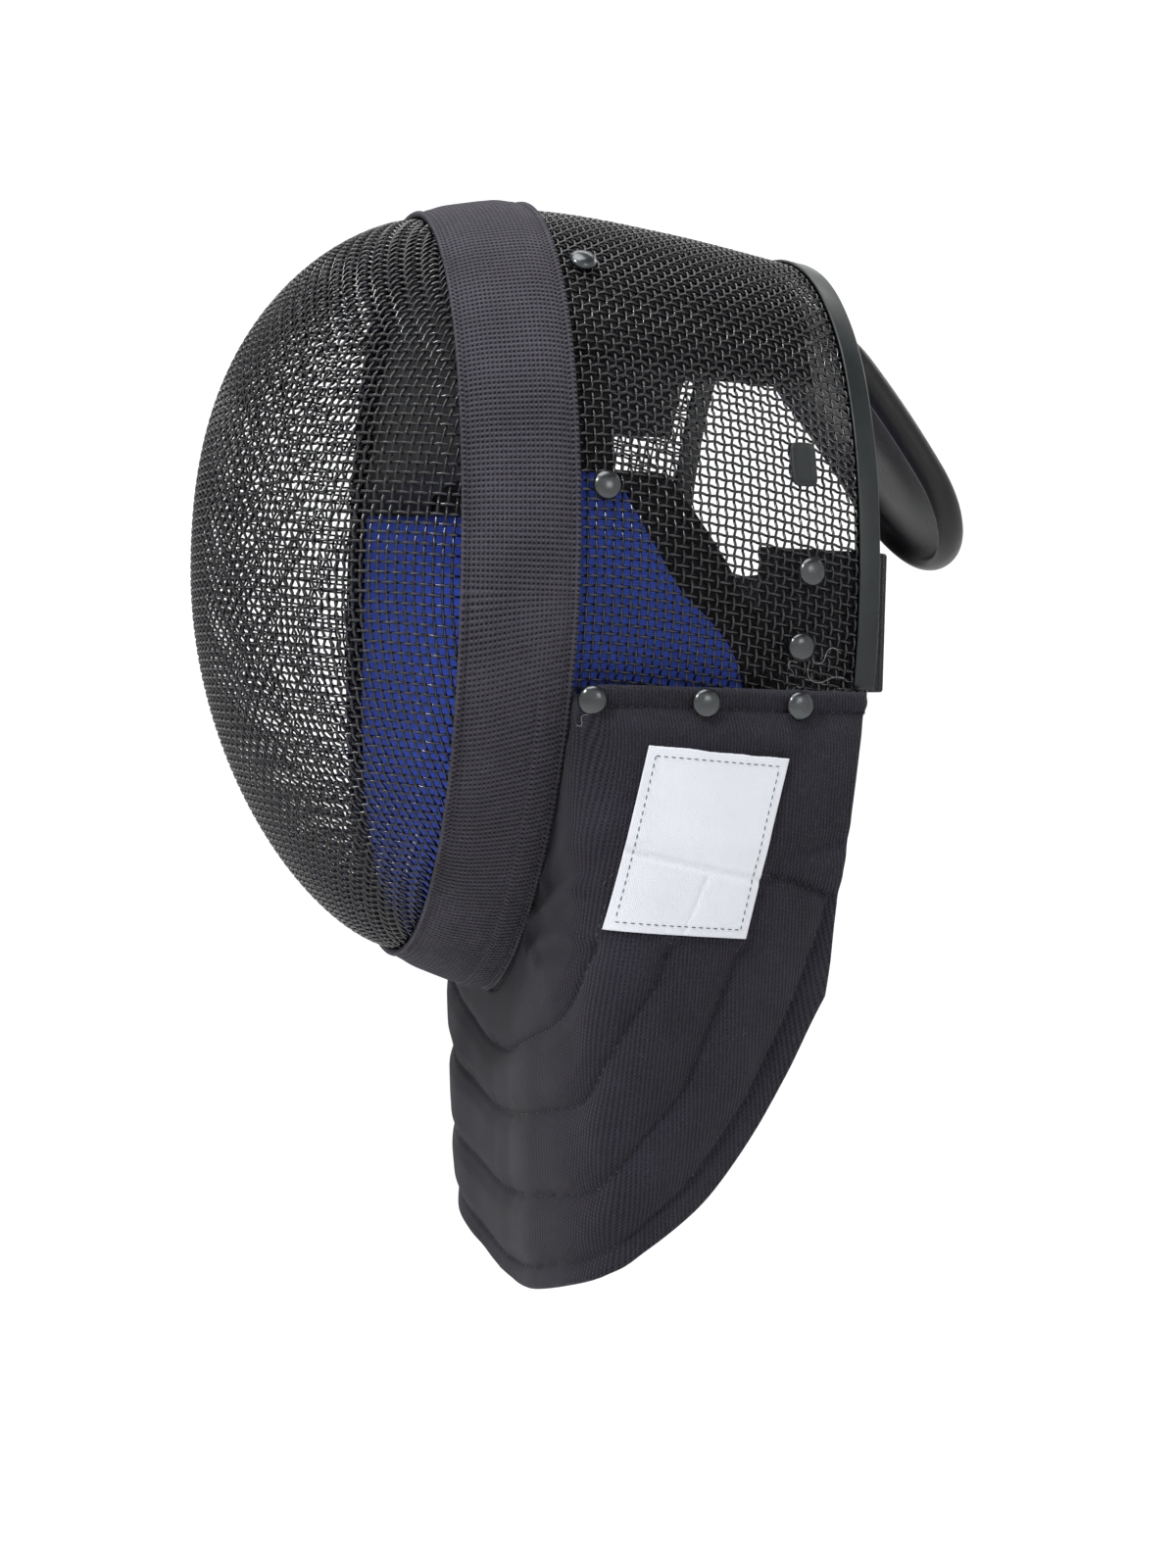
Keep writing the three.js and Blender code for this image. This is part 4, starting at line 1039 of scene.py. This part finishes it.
def bib(finish):
    """Quilted cloth: outer and inner faces meet in a round edge."""
    at = 2 * edge_spaced(262, 0.0045) - 1
    down = edge_spaced(126, 0.018)
    grid_at, grid_down = np.meshgrid(at, down, indexing="ij")
    points = bib_surface(grid_at, grid_down)
    run_down = run_length(points)
    run_at = run_length(np.swapaxes(points, 0, 1)).T
    edge = np.minimum(
        np.minimum(run_down, run_down[:, -1:] - run_down), np.minimum(run_at, run_at[-1:] - run_at)
    )
    mid = BIB_WALL / 2
    share = np.sqrt(1 - (1 - np.clip(edge / mid, 0, 1)) ** 2)
    relief = bib_relief(grid_at, grid_down, points)
    normals = bib_normal(grid_at, grid_down)
    outer = points + normals * (mid + (mid + relief) * share)[..., None]
    inner = points + normals * (mid - mid * share)[..., None]
    rings = np.concatenate([outer, inner[:, ::-1]], 1)
    middle = len(at) // 2
    level = run_length(np.swapaxes(points * (1, 1, 0), 0, 1)).T
    level = level - level[middle]
    rise = points[..., 2]
    u = np.concatenate([level, level[:, ::-1], level[:, :1]], 1)
    v = np.concatenate([rise, rise[:, ::-1], rise[:, :1]], 1)
    piece = grid_piece("bib_cloth", rings, finish, np.stack([u, v], -1), (False, True), weld=True)
    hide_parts("bib")
    return piece


def bib_tuck(finish):
    """Tape that joins the bib to the band: in each section a quadratic curve from under the band's rear
    edge to the bib's face."""
    u, v = np.meshgrid(2 * edge_spaced(260, 0.004) - 1, edge_spaced(8, 0.1, 3), indexing="ij")
    half = 0.0003 * border(u, v, 1.0, 0.009, 0.0006)
    edge = (BAND_WIDTH + BAND_GAP) / SHELL_DEPTH
    side = turn_at(edge, -BIB_BELOW_WIDEST)

    def surface(u, v, off):
        place = np.abs(u)
        turn = np.pi + (side - np.pi) * place
        inner = head_point(edge - 0.005 / SHELL_DEPTH + 0 * turn, turn, 0.00035)
        corner = head_point(edge + 0.001 / SHELL_DEPTH + 0 * turn, turn, 0.0012)
        down = 0.004 + 0.014 * smooth(place * 4)
        outer = bib_point(np.minimum(place, 0.985) * BIB_SIDE_AT, down, BIB_WALL - 0.0004)
        path = (1 - v[..., None]) ** 2 * inner + v[..., None] ** 2 * outer
        rise = off[..., None] * head_normal(edge + 0 * turn, turn)
        path = path + 2 * (v * (1 - v))[..., None] * corner + rise
        return path * np.stack([np.where(u < 0, -1, 1), 1 + 0 * u, 1 + 0 * u], -1)

    piece = pillow("bib_tuck", surface, u, v, half, 0 * u, finish, (0.3, 0.009))
    return piece


def stitches(name, lines, finish, length=0.0021, gap=0.0011, radius=0.00022, lift=0.0):
    """Short arched threads along lines of (points, normals): each a tapered tube, sunk at its ends."""
    rings = []
    t = np.linspace(-1, 1, 4)
    for points, normals in lines:
        run = run_length(points)
        middles = np.arange(gap, run[-1] - gap, length + gap)
        along = middles[:, None] + t[None] * length / 2
        path = np.stack([np.interp(along, run, points[:, k]) for k in range(3)], -1)
        out = unit(np.stack([np.interp(along, run, normals[:, k]) for k in range(3)], -1))
        path = path + out * (lift + radius * (1.1 - 1.6 * t**2))[None, :, None]
        forward = unit(path[:, -1:] - path[:, :1]) + 0 * path
        level = unit(np.cross(forward, out))
        size = radius * np.sqrt(np.clip(1.02 - t**4, 0, 1))
        rings.append(path[..., None, :] + circle(out, level, 5) * size[None, :, None, None])
    rings = np.concatenate(rings)
    count, sections, sides = rings.shape[:3]
    ci, cj = grid_corners(sections, sides, False, True)
    cells = (ci * sides + cj % sides)[:, ::-1]
    base = np.arange(count)[:, None, None] * sections * sides
    walls = (base + cells[None]).reshape(-1, 4).tolist()
    ends = (base[:, 0] + np.arange(sides)[None]).tolist()
    tips = (base[:, 0] + (sections - 1) * sides + np.arange(sides)[None, ::-1]).tolist()
    piece = make_piece(name, rings, walls + ends + tips, None, finish)
    return piece


def seam_line(across, down):
    """Points and normals of the bib's outer face along a line of places."""
    points = bib_surface(across, down)
    relief = bib_relief(across, down, points)
    normals = bib_normal(across, down)
    return points + normals * (BIB_WALL + relief)[:, None], normals


def bib_stitches(finish):
    """Stitches along every seam, and along the top hem of both sides."""
    lines = [seam_line(*places) for name in SEAMS for places in seam_places(name)]
    for mirror in (1, -1):
        at = np.linspace(BIB_SIDE_AT + 0.01, 0.99, 120)
        height = np.linalg.norm(bib_hem(at) - bib_top(at), axis=-1)
        lines.append(seam_line(at * mirror, HEM_STITCH_DOWN / height))
    return stitches("bib_stitches", lines, finish)


def band_stitches(finish):
    """Two rows of stitches through the tape under the band's lower rear edge."""
    lines = []
    end = turn_at(BAND_WIDTH / SHELL_DEPTH, -BIB_BELOW_WIDEST - 0.004)
    turn = np.linspace(end, 2 * np.pi - end, 500)
    for across in TAPE_ROWS:
        along = across * BAND_WIDTH / SHELL_DEPTH + 0 * turn
        points = head_point(along, turn, BAND_GAP + BAND_MIDDLE_WALL - 0.0012)
        lines.append((points, head_normal(along, turn)))
    return stitches("band_stitches", lines, finish, length=0.0018, gap=0.0009)


def label_shares(points):
    """Shares of the label's width and height at which points of the bib lie."""
    lean, slope = math.radians(LABEL_LEAN), math.radians(LABEL_SLOPE)
    y = points[..., 1] - LABEL_ALONG * SHELL_DEPTH + BAND_TO_SEAT
    z = points[..., 2] + WIDEST_BELOW_SEAT + LABEL_BELOW_WIDEST
    det = math.cos(slope) * math.cos(lean) + math.sin(slope) * math.sin(lean)
    across = (y * math.cos(lean) - z * math.sin(lean)) / det
    up = (z * math.cos(slope) + y * math.sin(slope)) / det
    return across / LABEL_WIDTH + 0.5, up / LABEL_HEIGHT + 0.5


def label_places(u, v):
    """Places on the bib under the label, for u from front to back and v from foot to head."""
    lean, slope = math.radians(LABEL_LEAN), math.radians(LABEL_SLOPE)
    across, up = (u - 0.5) * LABEL_WIDTH, (v - 0.5) * LABEL_HEIGHT
    y = LABEL_ALONG * SHELL_DEPTH - BAND_TO_SEAT + across * math.cos(slope) + up * math.sin(lean)
    z = -WIDEST_BELOW_SEAT - LABEL_BELOW_WIDEST - across * math.sin(slope) + up * math.cos(lean)
    return bib_place(y, z, BIB_WALL + LABEL_GAP)


def label_relief(u, v):
    """Creases of the label: a valley where the step seam passes under it, one from there to its foot,
    and a sag between them."""
    crease = bell((v - (0.43 - 0.11 * u)) / 0.016)
    valley = bell((u - (0.62 - 0.25 * (0.36 - v))) / 0.012) * smooth((0.36 - v) / 0.04)
    puff = 0.0005 * bell((v - 0.25) / 0.12) * bell((u - 0.3) / 0.2)
    return 0.0012 - 0.0006 * crease - 0.0004 * valley + puff + 0.0003 * bell((v - 0.5) / 0.08)


def label(finish):
    """Cloth patch: follows the bib, with creases and slightly frayed edges."""
    u, v = np.meshgrid(edge_spaced(60, 0.012, 3), edge_spaced(76, 0.01, 3), indexing="ij")
    rng = np.random.default_rng(11)
    fray = 0.004 * np.cumsum(rng.normal(size=u.shape[0])) / 4
    stretch = v + (fray - fray.mean())[:, None] * smooth((v - 0.9) / 0.1)
    half = LABEL_WALL / 2 * border(u, v, LABEL_WIDTH, LABEL_HEIGHT, 0.0004)
    lift = label_relief(u, v) - 0.0003

    def surface(u, v, off):
        at, down = label_places(u, stretch)
        return bib_point(at, down, BIB_WALL + off)

    piece = pillow("label_patch", surface, u, v, half, lift, finish, (LABEL_WIDTH, LABEL_HEIGHT))
    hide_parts("label")
    return piece


def label_border(finish):
    """Dashed dark stitch inside the label's edge, all round."""
    inset = 0.003
    left, low = inset / LABEL_WIDTH, inset / LABEL_HEIGHT
    corners = np.array([(left, low), (1 - left, low), (1 - left, 1 - low), (left, 1 - low), (left, low)])
    lines = []
    for a, b in zip(corners[:-1], corners[1:]):
        t = np.linspace(0, 1, 80)[:, None]
        u, v = (a + (b - a) * t).T
        at, down = label_places(u, v)
        off = BIB_WALL + label_relief(u, v) + 0.0001
        lines.append((bib_point(at, down, off), bib_normal(at, down)))
    return stitches("label_stitches", lines, finish, 0.0019, 0.0007, 0.00016)


def threads(finish):
    """A few loose thread ends by the rivets: thin tubes along slack curls, each from (level, rise) in
    millimetres at its rivet's rim, on by a heading that turns as it goes."""
    seats = rivet_seats()
    plan = (
        ("rivet_strap_lower_left", (3.6, 4.0), 20, 75, (-95, 40, 1.0)),
        ("rivet_strap_lower_left", (4.2, 3.2), 15, 20, (-60, 70, 2.0)),
        ("rivet_strap_lower_left", (-1.0, 5.0), 9, 150, (-80, 60, 0.4)),
        ("rivet_hem_front_left", (-1.0, 4.9), 7, 110, (60, 70, 1.2)),
    )
    made = []
    for k, (name, start, length, heading, (turn, sway, phase)) in enumerate(plan):
        place, axes = seats[name]
        t = np.linspace(0, 1, 60)
        angle = np.radians(heading + turn * t + sway * np.sin(2 * np.pi * t + phase))
        step = length * MM / 59
        level = start[0] * MM + np.cumsum(np.cos(angle)) * step
        rise = start[1] * MM + np.cumsum(np.sin(angle)) * step
        out = 0.0005 + 0.0012 * np.sin(t * np.pi) ** 2
        path = place + np.stack([level, out, rise], -1) @ axes
        rings = tube_rings(path, np.broadcast_to(axes[1], path.shape), np.full(60, 0.00007), 6)
        piece = grid_piece(f"loose_thread_{k}", rings, finish, None, (False, True), caps=True, weld=True)
        made.append(piece)
    return made


# Materials
FUZZ = 0.35  # fibre noise as a share of a rib


def principled(name, color, roughness, sockets=None):
    finish = bpy.data.materials.new(name)
    finish.use_nodes = True
    shader = finish.node_tree.nodes["Principled BSDF"]
    shader.inputs["Base Color"].default_value = (*color, 1)
    shader.inputs["Roughness"].default_value = roughness
    for key, value in (sockets or {}).items():
        shader.inputs[key].default_value = value
    return finish, shader


def node(finish, kind, inputs=None, **settings):
    made = finish.node_tree.nodes.new(kind)
    for key, value in settings.items():
        setattr(made, key, value)
    for key, value in (inputs or {}).items():
        if isinstance(value, bpy.types.NodeSocket):
            finish.node_tree.links.new(value, made.inputs[key])
        else:
            made.inputs[key].default_value = value
    return made


def calculate(finish, operation, a, b=0.0):
    return node(finish, "ShaderNodeMath", {0: a, 1: b}, operation=operation).outputs[0]


def ribs(finish, place, period, degrees):
    """Sine waves of a period in metres across a direction of the given coordinates."""
    turned = (0, 0, math.radians(degrees))
    spin = node(finish, "ShaderNodeMapping", {"Vector": place, "Rotation": turned})
    split = node(finish, "ShaderNodeSeparateXYZ", {0: spin.outputs[0]})
    phase = calculate(finish, "MULTIPLY", split.outputs[0], 2 * math.pi / period)
    return calculate(finish, "SINE", phase)


def noise(finish, place, scale, detail=3.0, roughness=0.55):
    inputs = {"Vector": place, "Scale": scale, "Detail": detail, "Roughness": roughness}
    return node(finish, "ShaderNodeTexNoise", inputs).outputs["Fac"]


def mixed(finish, share, low, high):
    """Colour between two, by a share from 0 to 1."""
    ramp = node(finish, "ShaderNodeValToRGB", {"Fac": share})
    ramp.color_ramp.elements[0].color = (*low, 1)
    ramp.color_ramp.elements[1].color = (*high, 1)
    return ramp.outputs["Color"]


def object_place(finish):
    return node(finish, "ShaderNodeTexCoord").outputs["Object"]


def cloth(name, color, periods, degrees, depth, sheen, spread=0.25, rib_shade=0.42):
    """Woven or knitted cloth: ribs in two directions from the UV map in metres, fibre noise, and colour
    that follows a slow noise and, as painted shade, the ribs: lighter on their crests, darker in their
    hollows."""
    sockets = {"Sheen Weight": sheen, "Sheen Roughness": 0.45, "Specular IOR Level": 0.3}
    finish, shader = principled(name, color, 0.9, sockets)
    place = node(finish, "ShaderNodeUVMap", uv_map="cloth").outputs["UV"]
    first = ribs(finish, place, periods[0], degrees[0])
    second = ribs(finish, place, periods[1], degrees[1])
    both = calculate(finish, "MULTIPLY_ADD", calculate(finish, "MULTIPLY", first, second), 0.5)
    height = calculate(finish, "ADD", calculate(finish, "MULTIPLY", first, 0.5), both)
    around = object_place(finish)
    fibres = noise(finish, around, 2600, 2.0)
    height = calculate(finish, "ADD", height, calculate(finish, "MULTIPLY", fibres, FUZZ))
    bump = node(finish, "ShaderNodeBump", {"Height": height, "Distance": depth, "Strength": 1.0})
    finish.node_tree.links.new(bump.outputs[0], shader.inputs["Normal"])
    slow = noise(finish, around, 38, 4.0)
    tone_and_rib_shade = calculate(finish, "MULTIPLY", calculate(finish, "SUBTRACT", slow, 0.5), 0.9)
    # Painted shade of the weave: colour lighter where ribs and fibres stand high, darker in their hollows
    tone_and_rib_shade = calculate(finish, "ADD", tone_and_rib_shade, calculate(finish, "MULTIPLY", height, rib_shade))
    tone_and_rib_shade = calculate(finish, "ADD", tone_and_rib_shade, 0.5 - 0.5 * rib_shade)
    low = tuple(c * (1 - spread) for c in color)
    high = tuple(min(c * (1 + spread), 1) for c in color)
    finish.node_tree.links.new(mixed(finish, tone_and_rib_shade, low, high), shader.inputs["Base Color"])
    return finish


def enamel(name, color, roughness, metallic, grain, depth, coat=0.3):
    """Painted metal: fine orange peel, and a slow change of roughness and colour."""
    finish, shader = principled(
        name, color, roughness, {"Metallic": metallic, "Coat Weight": coat, "Coat Roughness": 0.12}
    )
    around = object_place(finish)
    peel = noise(finish, around, grain, 3.0)
    bump = node(finish, "ShaderNodeBump", {"Height": peel, "Distance": depth, "Strength": 0.6})
    finish.node_tree.links.new(bump.outputs[0], shader.inputs["Normal"])
    slow = noise(finish, around, grain / 12, 4.0)
    low, high = tuple(c * 0.7 for c in color), tuple(min(c * 1.45, 1) for c in color)
    finish.node_tree.links.new(mixed(finish, slow, low, high), shader.inputs["Base Color"])
    rough = calculate(finish, "ADD", calculate(finish, "MULTIPLY", slow, 0.25), roughness - 0.12)
    finish.node_tree.links.new(rough, shader.inputs["Roughness"])
    return finish


def vinyl(name, color):
    """Soft leathercloth: a fine pebble from cells and a slow noise, satin."""
    finish, shader = principled(name, color, 0.4, {"Specular IOR Level": 0.35})
    around = object_place(finish)
    cells = node(finish, "ShaderNodeTexVoronoi", {"Vector": around, "Scale": 900.0}).outputs["Distance"]
    height = calculate(finish, "ADD", cells, noise(finish, around, 120, 3.0))
    bump = node(finish, "ShaderNodeBump", {"Height": height, "Distance": 0.00012, "Strength": 0.5})
    finish.node_tree.links.new(bump.outputs[0], shader.inputs["Normal"])
    slow = noise(finish, around, 45, 3.0)
    low, high = tuple(c * 0.8 for c in color), tuple(c * 1.3 for c in color)
    finish.node_tree.links.new(mixed(finish, slow, low, high), shader.inputs["Base Color"])
    return finish


def thread(name, color):
    finish, shader = principled(name, color, 0.7, {"Sheen Weight": 0.3})
    around = object_place(finish)
    twist = noise(finish, around, 4000, 1.0)
    low, high = tuple(c * 0.6 for c in color), tuple(min(c * 1.3, 1) for c in color)
    finish.node_tree.links.new(mixed(finish, twist, low, high), shader.inputs["Base Color"])
    return finish


# Surroundings
BOWL_FLAT, BOWL_BEND, BOWL_TALL = 1.6, 1.2, 3.4
FLOOR_BELOW = 0.8


def studio():
    """Pale paper bowl: a flat floor that bends up through a quarter circle into a wall."""
    world = bpy.data.worlds.new("studio")
    world.use_nodes = True
    world.node_tree.nodes["Background"].inputs[0].default_value = (1.0, 1.0, 1.0, 1)
    world.node_tree.nodes["Background"].inputs[1].default_value = 0.2
    bpy.context.scene.world = world
    finish, _ = principled("paper", (0.86, 0.86, 0.86), 0.9)
    angle = np.linspace(0, np.pi / 2, 10)
    radius = np.concatenate([[0.001], BOWL_FLAT + BOWL_BEND * np.sin(angle), [BOWL_FLAT + BOWL_BEND]])
    rise = np.concatenate([[0], BOWL_BEND - BOWL_BEND * np.cos(angle), [BOWL_TALL]]) - FLOOR_BELOW
    turn = np.linspace(0, 2 * np.pi, 49)[:-1]
    x, y = radius[:, None] * np.cos(turn), radius[:, None] * np.sin(turn)
    points = np.stack([x, y, rise[:, None] + 0 * x], -1)
    sheet = grid_piece("backdrop", points, finish, None, (False, True))


def lamp(name, place, aim, size, power):
    light = bpy.data.lights.new(name, "AREA")
    light.shape, light.size, light.size_y = "RECTANGLE", size[0], size[1]
    light.energy = power
    made = bpy.data.objects.new(name, light)
    made.location = place
    made.rotation_mode = "QUATERNION"
    made.rotation_quaternion = (Vector(aim) - Vector(place)).to_track_quat("-Z", "Y")
    bpy.context.scene.collection.objects.link(made)


def camera():
    angle, tilt, roll = math.radians(90 - YAW), math.radians(PITCH), math.radians(ROLL)
    back = Vector((math.sin(angle) * math.cos(tilt), -math.cos(angle) * math.cos(tilt), math.sin(tilt)))
    right = (-back).cross(Vector((0, 0, 1))).normalized()
    up = right.cross(-back)
    rolled = right * math.cos(roll) + up * math.sin(roll)
    upright = up * math.cos(roll) - right * math.sin(roll)
    data = bpy.data.cameras.new("camera")
    data.lens = LENS
    data.sensor_width = 36
    made = bpy.data.objects.new("camera", data)
    matrix = Matrix((rolled, upright, back)).transposed().to_4x4()
    matrix.translation = Vector(TARGET) + back * DISTANCE
    made.matrix_world = matrix
    bpy.context.scene.collection.objects.link(made)
    bpy.context.scene.camera = made


camera()
studio()
lamp("key", (0.75, -1.2, 1.0), (0, 0, -0.12), (0.2, 0.2), 16)
lamp("sky", (0.25, -0.35, 1.5), (0, 0, -0.1), (1.2, 1.2), 18)
lamp("fill", (1.9, 0.5, 0.5), (0, 0, -0.2), (0.6, 0.6), 3.5)
lamp("rim", (-0.5, 1.5, 1.0), (0, 0, -0.1), (0.8, 0.6), 5)
lamp("wash", (-0.9, 0.3, 1.6), (-2.4, 0.6, 0.2), (1.6, 1.2), 34)
lamp("wash_two", (0.9, -0.3, 2.2), (2.4, -0.6, 0.6), (1.6, 1.2), 10)
bpy.context.scene.view_settings.view_transform = "Standard"

WIRE = enamel("black wire enamel", (0.008, 0.008, 0.0095), 0.16, 0.0, 700, 0.00008)
METAL = enamel("black trim paint", (0.009, 0.012, 0.0125), 0.36, 0.0, 900, 0.00005, 0.0)
RIVET = enamel("gunmetal", (0.075, 0.08, 0.083), 0.24, 0.9, 1200, 0.00003)
CLIP = enamel("clip paint", (0.016, 0.019, 0.02), 0.36, 0.2, 900, 0.00005, 0.1)
BAND_CLOTH = cloth(
    "charcoal webbing", (0.041, 0.038, 0.049), (0.0018, 0.00145), (0, 90), 0.0008, 0.05, 1.0, 0.9
)
BIB_CLOTH = cloth(
    "charcoal knit", (0.0165, 0.0152, 0.0222), (0.0011, 0.0013), (9, 99), 0.0003, 0.05, 0.8, 0.7
)
BLUE = cloth("royal blue lining", (0.065, 0.135, 0.78), (0.0007, 0.0007), (0, 90), 0.0001, 0.03)
PAD = cloth("black padding cloth", (0.013, 0.013, 0.015), (0.0012, 0.0012), (45, 135), 0.0002, 0.03)
STRAP = cloth("black elastic", (0.02, 0.02, 0.025), (0.0018, 0.0012), (0, 90), 0.0003, 0.05)
PATCH = cloth("white label cloth", (0.77, 0.79, 0.84), (0.0006, 0.0006), (0, 90), 0.00008, 0.0, 0.08)
VINYL = vinyl("black vinyl", (0.012, 0.012, 0.013))
DARK_THREAD = thread("charcoal thread", (0.02, 0.02, 0.026))
NAVY_THREAD = thread("navy thread", (0.02, 0.022, 0.04))
PALE_THREAD = thread("pale thread", (0.34, 0.34, 0.34))

made = [
    *weave("bulb", "front_mesh", bulb_nodes, 62, 62, WIRE),
    *weave("shell", "back_mesh", shell_nodes, 40, 84, WIRE),
    band(BAND_CLOTH),
    rear_trim(METAL),
    rivets(RIVET),
    *clips(CLIP),
    crown_pad(PAD),
    face_pad(PAD),
    *side_linings(PAD),
    cheek_lining(BLUE),
    lining_binding(PAD),
    tongue(VINYL),
    rear_strap(STRAP),
    bib(BIB_CLOTH),
    bib_tuck(BIB_CLOTH),
    bib_stitches(DARK_THREAD),
    band_stitches(DARK_THREAD),
    label(PATCH),
    label_border(NAVY_THREAD),
    *threads(PALE_THREAD),
]
for piece in made:
    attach(piece, "root")
    print(piece.name, len(piece.data.polygons), sum(len(p.vertices) - 2 for p in piece.data.polygons))
